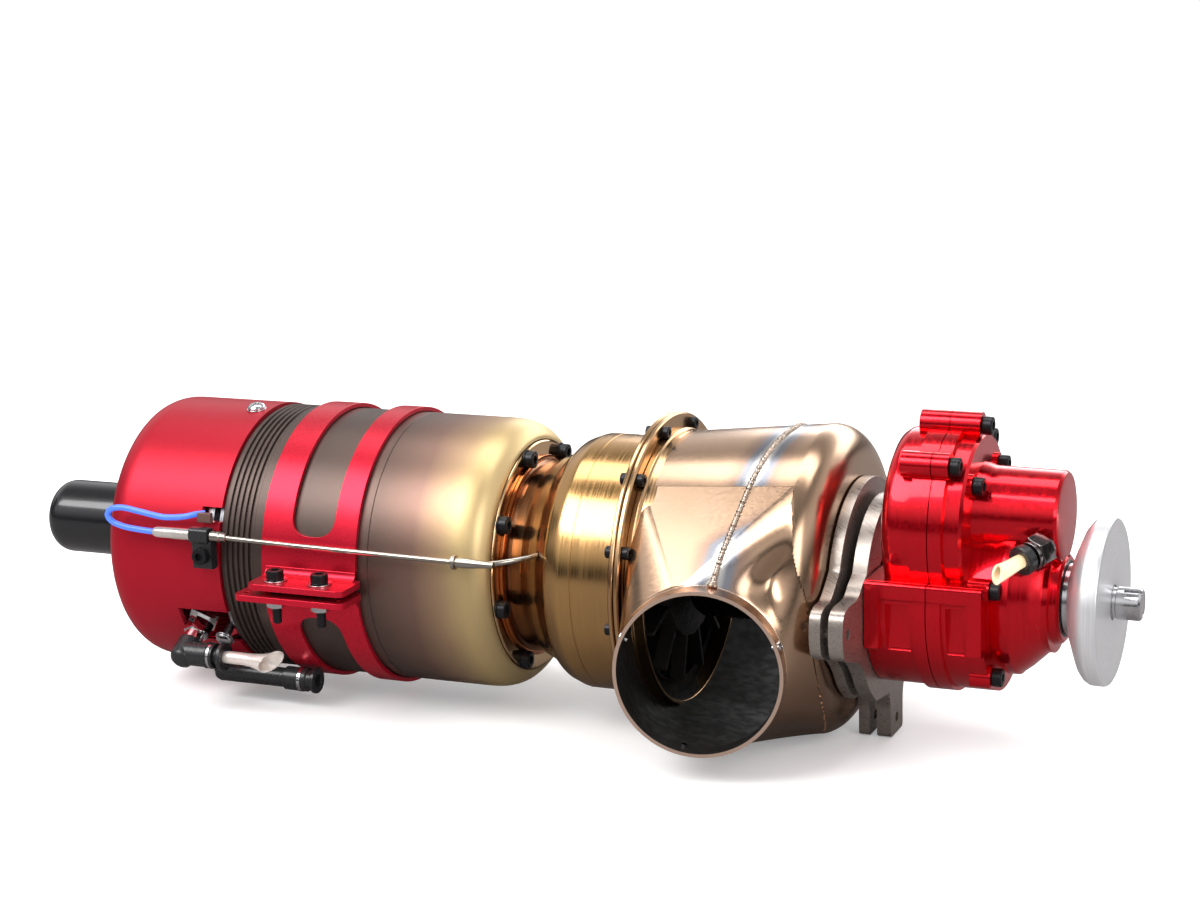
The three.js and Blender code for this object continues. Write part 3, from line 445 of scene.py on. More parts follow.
def socket_screw(head_r: float, head_h: float, shank_r: float, length: float) -> Shape:
    """A cap screw along the first axis with its head's seat at zero and a hexagon socket on top.

    Args:
        head_r: head radius.
        head_h: head height.
        shank_r: shank radius.
        length: shank length below the seat.

    Returns:
        The closed shape.
    """
    hexagon = hexagon_radii(head_r * 0.46)
    bevel = head_h * 0.12
    grip = head_r + 0.02 * head_r * np.cos(FINE_ANGLES * 24)
    return ring_stack([
        (-length, shank_r * 0.8),
        (-length + shank_r * 0.3, shank_r),
        (0.0, shank_r),
        (0.0, head_r * 0.96),
        (bevel * 0.6, head_r),
        (bevel * 0.9, grip),
        (head_h - bevel * 1.2, grip),
        (head_h - bevel, head_r),
        (head_h - bevel * 0.3, head_r * 0.97),
        (head_h, head_r * 0.88),
        (head_h, hexagon * 1.05),
        (head_h - 0.12 * head_r, hexagon),
        (head_h * 0.42, hexagon),
        (head_h * 0.32, hexagon * 0.3),
    ])


def washer(x0: float, inner: float, outer: float, thick: float) -> Shape:
    """A flat washer along the first axis."""
    return ring(x0, x0 + thick, inner, outer, FINE)


def hexagon_bar(x0: float, x1: float, across_flats: float, bore: float = 0.0) -> Shape:
    """A hexagon bar with chamfered corners along the first axis, with an optional bore."""
    flat = across_flats / 2
    hexagon = hexagon_radii(flat)
    chamfer = flat * 0.07
    cone = np.minimum(hexagon, flat * 1.03)
    rows = [(x0, cone), (x0 + chamfer, hexagon), (x1 - chamfer, hexagon), (x1, cone)]
    if bore > 0:
        rows += [(x1, bore), (x0, bore)]
    return ring_stack(rows, bore > 0)


def cut_tube(x: np.ndarray, radii: Sequence[np.ndarray], tall: np.ndarray | float = 1.0) -> Shape:
    """An open tube between an outer and an inner skin.

    Args:
        x: station of each corner, one row for each fine ring.
        radii: radius of each corner, for the outer and then the inner skin.
        tall: height of the section against its width.

    Returns:
        The tube along the first axis.
    """
    sine, cosine = np.sin(FINE_ANGLES), np.cos(FINE_ANGLES)
    skins = [np.stack([x, r * sine, r * tall * cosine], -1) for r in radii]
    points = np.concatenate([skins[0], skins[1][::-1]]).reshape(-1, 3)
    return Shape(points, turned_out(ring_faces(2 * len(x), FINE, True)))


# ---------- shader groups


@dataclass
class Graph:
    """Adds and links nodes in one node tree.

    Attributes:
        tree: the tree being filled.
    """

    tree: Tree

    def add(self, kind: str, *values: object, **settings: object) -> bpy.types.Node:
        """Adds a shader node of a kind, sets its plain properties and feeds its first inputs."""
        node = self.tree.nodes.new(f"ShaderNode{kind}")
        for key, value in settings.items():
            setattr(node, key, value)
        for socket, value in zip(node.inputs, values):
            self.feed(socket, value)
        return node

    def group(self, tree: Tree, **values: float) -> bpy.types.Node:
        """Adds a shared group and sets its inputs."""
        node = self.add("Group", node_tree=tree)
        for key, value in values.items():
            node.inputs[key].default_value = value
        return node

    def place(self) -> Socket:
        """Adds the object's own coordinates."""
        return self.add("TexCoord").outputs["Object"]

    def parts(self, vector: Socket) -> Inputs:
        """Splits a vector and returns its three numbers by name."""
        return self.add("SeparateXYZ", vector).outputs

    def shaded(self, colour: object, value: Socket, gain: float, base: float) -> Socket:
        """Multiplies a colour by base plus gain times a value."""
        shade = self.add("Math", value, gain, base, operation="MULTIPLY_ADD").outputs[0]
        whole = self.add("CombineColor", shade, shade, shade).outputs[0]
        return self.blend(1.0, colour, whole, "MULTIPLY")

    def ramp(self, value: Socket, stops: Sequence[tuple[float, Colour]]) -> Socket:
        """Turns a value from nought to one into a colour by stops along it."""
        node = self.add("ValToRGB", value)
        made = node.color_ramp.elements
        for i, (spot, colour) in enumerate(stops):
            stop = made[i] if i < 2 else made.new(spot)
            stop.position = spot
            stop.color = (*colour, 1.0)
        return node.outputs[0]

    def feed(self, socket: Socket, value: object) -> None:
        """Links an output to a socket, or sets the socket to a plain value."""
        if isinstance(value, Socket):
            self.tree.links.new(value, socket)
        else:
            socket.default_value = value

    def math(self, operation: str, a: object, b: object = 0.0, clamp: bool = False) -> Socket:
        """Adds one arithmetic node and returns its result."""
        return self.add("Math", a, b, operation=operation, use_clamp=clamp).outputs[0]

    def vector(self, operation: str, a: object, b: object) -> Socket:
        """Adds one vector arithmetic node and returns its vector."""
        return self.add("VectorMath", a, b, operation=operation).outputs[0]

    def blend(self, factor: object, a: object, b: object, kind: str = "MIX") -> Socket:
        """Mixes two colours and returns the result."""
        node = self.add("Mix", data_type="RGBA", blend_type=kind)
        self.feed(node.inputs[0], factor)
        self.feed(node.inputs[6], a)
        self.feed(node.inputs[7], b)
        return node.outputs[2]

    def noise(self, place: object, scale: object, detail: float = 2.0) -> Socket:
        """Adds a noise pattern and returns its value."""
        node = self.add("TexNoise")
        self.feed(node.inputs["Vector"], place)
        self.feed(node.inputs["Scale"], scale)
        node.inputs["Detail"].default_value = detail
        return node.outputs["Fac"]

    def span(self, value: object, low: float, high: float, start: float = 0.0, end: float = 1.0) -> Socket:
        """Maps low..high of a value smoothly onto start..end."""
        node = self.add("MapRange", interpolation_type="SMOOTHSTEP")
        self.feed(node.inputs["Value"], value)
        for name, number in zip(("From Min", "From Max", "To Min", "To Max"), (low, high, start, end)):
            node.inputs[name].default_value = number
        return node.outputs["Result"]

    def bump(self, height: object, strength: object, distance: float) -> Socket:
        """Turns a height into a normal."""
        node = self.add("Bump")
        self.feed(node.inputs["Height"], height)
        self.feed(node.inputs["Strength"], strength)
        node.inputs["Distance"].default_value = distance
        return node.outputs["Normal"]


class GroupMaker:
    """Makes each shared shader group on first use."""

    def start(self, name: str, *results: str, **values: float) -> tuple[Graph, Socket, Socket]:
        """Starts a group with named sockets.

        Args:
            name: the group's name.
            *results: name of each output, a number unless it is the normal.
            **values: name and default of each input, all numbers.

        Returns:
            The graph inside the group, the outputs of its input node and the inputs of its output node.
        """
        tree = bpy.data.node_groups.new(name, "ShaderNodeTree")
        for label, value in values.items():
            made = tree.interface.new_socket(label, in_out="INPUT", socket_type="NodeSocketFloat")
            made.default_value = value
        for label in results:
            kind = "NodeSocketVector" if label == "Normal" else "NodeSocketFloat"
            tree.interface.new_socket(label, in_out="OUTPUT", socket_type=kind)
        into, out = tree.nodes.new("NodeGroupInput"), tree.nodes.new("NodeGroupOutput")
        return Graph(tree), into.outputs, out.inputs

    @cached_property
    def grain(self) -> Tree:
        """Bead-blasted or moulded grain: fine noise as a value and a normal."""
        g, into, out = self.start("grain", "Value", "Normal", Scale=2600.0, Depth=0.15)
        fine = g.noise(g.place(), into["Scale"], 2.0)
        g.feed(out["Value"], fine)
        g.feed(out["Normal"], g.bump(fine, into["Depth"], 0.0002))
        return g.tree

    @cached_property
    def turned(self) -> Tree:
        """Tool marks that run round a shaft: noise stretched until it only changes with the station
        and the distance from the axis."""
        height = AXIS_HEIGHT / 1000
        g, into, out = self.start("turned", "Value", "Normal", Height=height, Scale=1.0, Depth=0.2)
        at = g.parts(g.place())
        up = g.math("SUBTRACT", at["Z"], into["Height"])
        angle = g.math("ARCTAN2", at["Y"], up)
        radius = g.math("SQRT", g.math("ADD", g.math("POWER", at["Y"], 2.0), g.math("POWER", up, 2.0)))
        fine, slow = 2400.0, 1.6
        thin = [g.math("MULTIPLY", a, b) for a, b in ((at["X"], fine), (radius, fine), (angle, slow))]
        marks = g.noise(g.add("CombineXYZ", *thin).outputs[0], into["Scale"], 3.0)
        g.feed(out["Value"], marks)
        g.feed(out["Normal"], g.bump(marks, into["Depth"], 0.0001))
        return g.tree

    @cached_property
    def brushed(self) -> Tree:
        """Straight hand-brushed scratches along a slanted line, as a value and a normal."""
        g, into, out = self.start("brushed", "Value", "Normal", Tilt=0.6, Scale=1.0, Depth=0.2)
        turn = g.add("VectorRotate", rotation_type="AXIS_ANGLE")
        turn.inputs["Axis"].default_value = (0.3, 1.0, 0.2)
        g.feed(turn.inputs["Vector"], g.place())
        g.feed(turn.inputs["Angle"], into["Tilt"])
        thin = g.vector("MULTIPLY", turn.outputs[0], (1900.0, 1900.0, 40.0))
        marks = g.noise(thin, into["Scale"], 3.0)
        g.feed(out["Value"], marks)
        g.feed(out["Normal"], g.bump(marks, into["Depth"], 0.0001))
        return g.tree

    @cached_property
    def cloud(self) -> Tree:
        """Slow patches of tint and handling marks, as a value from nought to one."""
        g, into, out = self.start("cloud", "Value", Scale=40.0, Low=0.35, High=0.7)
        slow = g.noise(g.place(), into["Scale"], 4.0)
        spread = g.math("SUBTRACT", into["High"], into["Low"])
        g.feed(out["Value"], g.math("DIVIDE", g.math("SUBTRACT", slow, into["Low"]), spread, clamp=True))
        return g.tree

    @cached_property
    def dust(self) -> Tree:
        """Dust that settles on faces looking up, broken by noise, as a mask."""
        g, into, out = self.start("dust", "Mask", Amount=0.1)
        facing = g.parts(g.add("NewGeometry").outputs["Normal"])
        up = g.math("POWER", g.math("MAXIMUM", facing["Z"], 0.0), 3.0)
        specks = g.noise(g.place(), 700.0, 3.0)
        g.feed(out["Mask"], g.math("MULTIPLY", g.math("MULTIPLY", up, specks), into["Amount"]))
        return g.tree


GROUPS = GroupMaker()


# ---------- finishes

class Marks(Enum):
    """Kinds of surface marks a finish can carry."""

    GRAIN = "grain"
    TURNED = "turned"
    BRUSHED = "brushed"


GRAIN, TURNED, BRUSHED = Marks


class Surface:
    """A procedural material with one Principled shader, made once."""

    name: str

    def material(self) -> bpy.types.Material:
        """Returns the material, made on first use."""
        title = f"fine_{self.name}"
        made = bpy.data.materials.get(title)
        if made is None:
            made = bpy.data.materials.new(title)
            made.use_nodes = True
            made.node_tree.nodes.clear()
            g = Graph(made.node_tree)
            shader = g.add("BsdfPrincipled")
            g.add("OutputMaterial", shader.outputs[0])
            self.fill(g, shader.inputs)
        return made

    def fill(self, g: Graph, shader: Inputs) -> None:
        """Feeds the inputs of the shader."""
        raise NotImplementedError


@dataclass(frozen=True)
class Finish(Surface):
    """A finish of even colour or of bands along the engine, with fine surface marks.

    Attributes:
        name: name of the material.
        slot: the record's material slot that it stands for; not used.
        colour: base colour, linear.
        metal: how metallic it is.
        rough: middle roughness.
        marks: the surface marks.
        scale: scale of the marks, in the marks' own unit.
        depth: strength of the marks in the normal.
        spread: how far the marks push the roughness either way.
        tint: second colour that the cloud brings in.
        tint_amount: how strong that colour gets.
        coat: weight of the clear coat.
        dust: amount of dust on faces that look up.
        shine: strength of the mirror-like part on a non-metal.
        tilt: lean of brushed marks, radians.
        bands: colours along the engine as (station, colour), or empty.
    """

    name: str
    slot: str
    colour: Colour
    metal: float = 0.0
    rough: float = 0.4
    marks: Marks = GRAIN
    scale: float = 2600.0
    depth: float = 0.08
    spread: float = 0.06
    tint: Colour = (0.0, 0.0, 0.0)
    tint_amount: float = 0.0
    coat: float = 0.0
    dust: float = 0.0
    shine: float = 0.5
    tilt: float = 0.6
    bands: tuple[tuple[float, Colour], ...] = ()

    def fill(self, g: Graph, shader: Inputs) -> None:
        """Feeds the inputs of the shader."""
        marks = g.group(getattr(GROUPS, self.marks.value), Scale=self.scale, Depth=self.depth)
        if self.marks is BRUSHED:
            marks.inputs["Tilt"].default_value = self.tilt
        value = marks.outputs["Value"]
        g.feed(shader["Normal"], marks.outputs["Normal"])
        colour = self.base(g)
        if self.tint_amount > 0:
            cloud = g.group(GROUPS.cloud)
            amount = g.math("MULTIPLY", cloud.outputs["Value"], self.tint_amount)
            colour = g.blend(amount, colour, (*self.tint, 1.0))
        colour = g.shaded(colour, value, 0.3, 0.85)
        if self.dust > 0:
            film = g.group(GROUPS.dust, Amount=self.dust)
            colour = g.blend(film.outputs["Mask"], colour, (0.55, 0.53, 0.5, 1.0))
        g.feed(shader["Base Color"], colour)
        g.feed(shader["Metallic"], self.metal)
        g.feed(shader["Coat Weight"], self.coat)
        g.feed(shader["Coat Roughness"], 0.06)
        g.feed(shader["Specular IOR Level"], self.shine)
        low, high = self.rough - self.spread, self.rough + self.spread
        g.feed(shader["Roughness"], g.span(value, 0.3, 0.7, max(low, 0.02), high))

    def base(self, g: Graph) -> Socket | tuple[float, float, float, float]:
        """Returns the base colour, changing along the engine where bands are given."""
        if not self.bands:
            return (*self.colour, 1.0)
        place = g.place()
        at = g.parts(place)
        wander = g.math("MULTIPLY", g.math("SUBTRACT", g.noise(place, 30.0, 2.0), 0.5), 0.006)
        low, high = self.bands[0][0], self.bands[-1][0]
        station = g.math("ADD", at["X"], wander)
        along = g.math("DIVIDE", g.math("SUBTRACT", station, metres(low)), (high - low) / 1000, clamp=True)
        return g.ramp(along, [((where - low) / (high - low), colour) for where, colour in self.bands])


def metres(station: float) -> float:
    """Turns an engine station in millimetres into the shared frame's first coordinate."""
    return (station - MID_STATION) / 1000


RED_COVER = Finish("red_anodised", "red_anodised", (0.46, 0.008, 0.024), 0.72, 0.38, GRAIN, 5200.0, 0.06,
                   0.05, dust=0.02)
RED_STRAP = Finish("red_strap", "red_anodised", (0.56, 0.008, 0.028), 0.7, 0.3, GRAIN, 5200.0, 0.05, 0.05,
                   dust=0.02)
RED_BOX = Finish(
    "red_gearbox", "red_gearbox", (0.72, 0.004, 0.014), 0.92, 0.2, TURNED, 0.6, 0.10, 0.05, coat=0.35
)
BLACK_CAN = Finish("black_can", "starter_black", (0.008, 0.008, 0.009), 0.2, 0.22, GRAIN, 3000.0, 0.008,
                   0.02, coat=0.5)
CASING = Finish(
    "heat_tinted_casing", "casing_steel", (0.1, 0.07, 0.06), 0.85, 0.42, GRAIN, 4200.0, 0.14, 0.05,
    dust=0.02,
    bands=(
        (-92.0, (0.085, 0.062, 0.054)), (-60.0, (0.10, 0.072, 0.062)), (-36.0, (0.13, 0.085, 0.07)),
        (-22.0, (0.22, 0.13, 0.10)), (-12.0, (0.40, 0.26, 0.155)), (-4.0, (0.60, 0.44, 0.21)),
        (8.0, (0.70, 0.53, 0.28)),
    ),
)
MIRROR_BRONZE = Finish(
    "mirror_bronze", "bronze_steel", (0.80, 0.56, 0.32), 1.0, 0.10, TURNED, 1.0, 0.05, 0.05,
    tint=(0.62, 0.28, 0.10), tint_amount=0.5,
)
COPPER_RING = Finish("copper_ring", "bronze_steel", (0.62, 0.22, 0.08), 1.0, 0.14, TURNED, 1.0, 0.06, 0.05)
BRONZE = Finish(
    "brushed_bronze", "bronze_steel", (0.50, 0.28, 0.11), 1.0, 0.2, TURNED, 1.0, 0.07, 0.05,
    bands=(
        (3.0, (0.30, 0.15, 0.08)), (12.0, (0.34, 0.18, 0.09)), (19.0, (0.42, 0.24, 0.11)),
        (27.0, (0.56, 0.33, 0.13)), (47.0, (0.50, 0.29, 0.12)), (58.0, (0.44, 0.26, 0.13)),
    ),
)
DUCT_WELD = Finish("weld_bead", "duct_steel", (0.42, 0.33, 0.27), 1.0, 0.26, GRAIN, 500.0, 0.3, 0.1)
RING_STEEL = Finish(
    "ring_steel", "bronze_steel", (0.60, 0.38, 0.20), 1.0, 0.2, TURNED, 1.0, 0.10, 0.07,
    tint=(0.38, 0.20, 0.09), tint_amount=0.5,
)
# Near-black for the inside of the duct and the rings in its mouth: painted shade.
INSIDE_SHADE = Finish("painted_inside_shade", "duct_steel", (0.008, 0.0065, 0.0055), 0.0, 0.7, GRAIN, 300.0, 0.05, 0.10, shine=0.18)
TUBE_STEEL = Finish("dark_tube", "hot_steel", (0.10, 0.085, 0.075), 1.0, 0.22, TURNED, 1.0, 0.12, 0.07)
HOT = Finish("hot_steel", "hot_steel", (0.012, 0.0095, 0.008), 0.0, 0.6, GRAIN, 900.0, 0.06, 0.1, shine=0.3)
PLATE = Finish(
    "plate_grey", "plate_grey", (0.36, 0.315, 0.28), 0.9, 0.34, BRUSHED, 1.0, 0.10, 0.08, tilt=1.2, dust=0.02
)
BARE = Finish("bare_aluminium", "bare_aluminium", (0.62, 0.63, 0.65), 1.0, 0.28, TURNED, 1.0, 0.12, 0.08)
STEEL = Finish("polished_steel", "polished_steel", (0.60, 0.60, 0.61), 1.0, 0.16, TURNED, 1.0, 0.10, 0.06)
PROBE_STEEL = Finish("probe_steel", "polished_steel", (0.42, 0.38, 0.33), 1.0, 0.22, GRAIN, 1500.0, 0.05,
                     0.05)
CHROME = Finish("bright_chrome", "polished_steel", (0.74, 0.72, 0.72), 1.0, 0.07, GRAIN, 800.0, 0.02, 0.03)
DARK_CHROME = Finish("dark_chrome", "polished_steel", (0.20, 0.17, 0.17), 1.0, 0.12, GRAIN, 800.0, 0.02,
                     0.03)
BEARING = Finish("bearing_steel", "bearing_steel", (0.66, 0.67, 0.68), 1.0, 0.1, TURNED, 1.0, 0.05, 0.04)
DRIVER = Finish("driver_silver", "driver_silver", (0.74, 0.74, 0.75), 0.75, 0.34, TURNED, 1.0, 0.025, 0.03)
BLACK_SCREW = Finish("black_oxide", "black_screw", (0.018, 0.018, 0.02), 0.75, 0.34, GRAIN, 2500.0, 0.08,
                     0.1, dust=0.04)
PLATED = Finish("zinc_plate", "plated_nut", (0.62, 0.62, 0.63), 1.0, 0.18, GRAIN, 1500.0, 0.05, 0.07)
BLACK_PLASTIC = Finish("black_plastic", "black_plastic", (0.012, 0.012, 0.013), 0.0, 0.3, GRAIN, 2000.0,
                       0.04, 0.06, dust=0.03)
BROWN_TAB = Finish("brown_tab", "black_plastic", (0.10, 0.045, 0.035), 0.0, 0.45, GRAIN, 900.0, 0.08, 0.06,
                   dust=0.02)
CLEAR_TUBE = Finish(
    "clear_tube", "clear_tube", (0.86, 0.78, 0.72), 0.55, 0.16, BRUSHED, 0.5, 0.2, 0.08,
    tint=(0.42, 0.30, 0.26), tint_amount=0.7,
)
AMBER_TUBE = Finish(
    "amber_tube", "clear_tube", (0.92, 0.66, 0.36), 0.0, 0.12, GRAIN, 300.0, 0.5, 0.08,
    tint=(0.98, 0.90, 0.74), tint_amount=0.8, coat=0.5,
)
SLEEVE = Finish(
    "clear_sleeve", "clear_sleeve", (0.62, 0.58, 0.54), 0.5, 0.16, GRAIN, 400.0, 0.25, 0.1,
    tint=(0.24, 0.2, 0.18), tint_amount=0.6, coat=0.6,
)
BLUE_WIRE = Finish("blue_wire", "blue_lead", (0.055, 0.16, 0.78), 0.0, 0.34, GRAIN, 1200.0, 0.04, 0.05,
                   coat=0.2)


@dataclass(frozen=True)
class DuctFinish(Surface):
    """Brushed stainless that heat has browned, with a blue band beside the weld and a pale lip.

    Attributes:
        name: name of the material.
        slot: the record's material slot that it stands for; not used.
    """

    name: str = "duct_steel"
    slot: str = "duct_steel"

    def fill(self, g: Graph, shader: Inputs) -> None:
        """Feeds the inputs of the shader."""
        brush = g.group(GROUPS.brushed, Tilt=-1.05, Depth=0.004)
        patch = g.group(GROUPS.cloud, Scale=9.0)
        colour = g.blend(patch.outputs["Value"], (0.60, 0.415, 0.29, 1), (0.43, 0.275, 0.175, 1))
        seam = g.add("Attribute", attribute_name="seam_mm").outputs["Fac"]
        wander = g.noise(g.place(), 60.0, 2.0)
        seam = g.math("ADD", seam, g.math("MULTIPLY", g.math("SUBTRACT", wander, 0.5), 3.0))
        colour = g.blend(g.span(seam, 11.0, 5.5), colour, (0.36, 0.24, 0.18, 1))
        colour = g.blend(g.span(seam, 6.5, 3.6), colour, (0.24, 0.245, 0.275, 1))
        colour = g.blend(g.span(seam, 3.4, 1.2), colour, (0.52, 0.50, 0.48, 1))
        lip = g.add("Attribute", attribute_name="lip_mm").outputs["Fac"]
        colour = g.blend(g.span(lip, 7.2, 6.4), colour, (0.90, 0.66, 0.52, 1))
        g.feed(shader["Base Color"], g.shaded(colour, brush.outputs["Value"], 0.14, 0.93))
        g.feed(shader["Metallic"], 1.0)
        g.feed(shader["Roughness"], g.span(brush.outputs["Value"], 0.3, 0.7, 0.20, 0.26))
        g.feed(shader["Normal"], brush.outputs["Normal"])


DUCT = DuctFinish()


# ---------- making pieces


def mesh_of(name: str, shape: Shape) -> bpy.types.Mesh:
    """Makes a mesh in the shared frame from a shape in engine millimetres."""
    mesh = bpy.data.meshes.new(name)
    points = (shape.points + [-MID_STATION, 0, AXIS_HEIGHT]) / 1000
    mesh.from_pydata(points.tolist(), [], shape.faces)
    mesh.validate()
    mesh.update()
    return mesh


def loose(name: str, shape: Shape) -> bpy.types.Object:
    """Links a plain object with a shape's mesh."""
    obj = bpy.data.objects.new(name, mesh_of(name, shape))
    bpy.context.scene.collection.objects.link(obj)
    return obj


def baked(obj: bpy.types.Object) -> None:
    """Replaces an object's mesh by the result of its modifiers."""
    bpy.context.view_layer.update()
    done = bpy.data.meshes.new_from_object(obj.evaluated_get(bpy.context.evaluated_depsgraph_get()))
    old = obj.data
    obj.modifiers.clear()
    obj.data = done
    bpy.data.meshes.remove(old)


def combined(obj: bpy.types.Object, shapes: Iterable[Shape], operation: str) -> None:
    """Joins shapes to an object or cuts them away, one after another.

    Args:
        obj: the object that is changed.
        shapes: closed shapes.
        operation: UNION, DIFFERENCE or INTERSECT.
    """
    tools = [loose(f"{obj.name}_tool_{i}", s) for i, s in enumerate(shapes)]
    for tool in tools:
        step = obj.modifiers.new("combine", "BOOLEAN")
        step.object = tool
        step.operation = operation
        step.solver = "EXACT"
    baked(obj)
    for tool in tools:
        mesh = tool.data
        bpy.data.objects.remove(tool)
        bpy.data.meshes.remove(mesh)


@dataclass
class Piece:
    """One finished piece of the object.

    Attributes:
        name: name of the object.
        shape: its shape.
        finish: its finish.
        body: the body it rides on.
        node: CAD node that it replaces, none if empty.
        bevel: width of the edge rounding in millimetres, none if zero.
        joins: shapes added to it.
        cuts: shapes taken away from it.
        angle: edges sharper than this, in degrees, are rounded or kept crisp.
    """

    name: str
    shape: Shape
    finish: Finish | DuctFinish
    body: Body = Body.ENGINE
    node: str = ""
    bevel: float = 0.25
    joins: Sequence[Shape] = ()
    cuts: Sequence[Shape] = ()
    angle: float = 32.0

    def build(self) -> bpy.types.Object:
        """Makes the object, rounds its edges, gives it its finish and hangs it on its body."""
        obj = loose(self.name, self.shape)
        if self.joins:
            combined(obj, self.joins, "UNION")
        if self.cuts:
            combined(obj, self.cuts, "DIFFERENCE")
        mesh = obj.data
        mesh.polygons.foreach_set("use_smooth", np.ones(len(mesh.polygons), bool))
        if self.bevel > 0:
            soften = obj.modifiers.new("edges", "BEVEL")
            soften.width = self.bevel / 1000
            soften.segments = 2
            soften.limit_method = "ANGLE"
            soften.angle_limit = math.radians(self.angle)
            soften.use_clamp_overlap = True
            soften.harden_normals = True
        else:
            mesh.set_sharp_from_angle(angle=math.radians(self.angle))
        weights = obj.modifiers.new("normals", "WEIGHTED_NORMAL")
        weights.keep_sharp = True
        mesh.materials.clear()
        mesh.materials.append(self.finish.material())
        if self.node:
            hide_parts(self.node)
        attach(obj, self.body.value)
        return obj


# ---------- front end


@dataclass
class Starter:
    """The starter can in front of the intake and the three-legged bracket that carries it.

    Attributes:
        radius: radius of the can.
        rear: station of its closed end.
        front: station of its drive end.
        cover_inside: radius that the bracket's legs reach.
    """

    radius: float = 12.6
    rear: float = -182.0
    front: float = -128.0
    cover_inside: float = 42.4

    def build(self) -> None:
        """Makes the can, the spindle and the bracket."""
        r, end = self.radius, self.rear
        bend = 6.5
        turn = np.linspace(1.45, 0, 10)
        dome = [(end + bend - bend * math.sin(t), r - bend + bend * math.cos(t)) for t in turn]
        profile = [(end, 0), *dome, (end + 8, r), (self.front - 3, r), (self.front - 3, 5), (self.front, 5),
                   (self.front, 1.85), (self.front - 8, 1.85), (self.front - 8, 0)]
        Piece("starter_can", lathe(profile), BLACK_CAN, node="starter_motor", bevel=0.3).build()
        spin = [(-135, 0), (-135, 1.5), (-123, 1.5), (-123, 6), (-117, 6), (-117, 5), (-121, 4.6), (-121, 0)]
        Piece("starter_dog", lathe(spin, 48), STEEL, Body.STARTER, "starter_spindle", 0.2).build()
        collar = ring(-140, -119.8, r + GAP, r + 2.6)
        leg = slab(-125.2, -119.8, -1.6, 1.6, r + 1.4, self.cover_inside, 0.8)
        Piece("starter_carrier", collar, RED_STRAP, node="starter_bracket", bevel=0.35,
              joins=around(leg, 3, math.pi)).build()


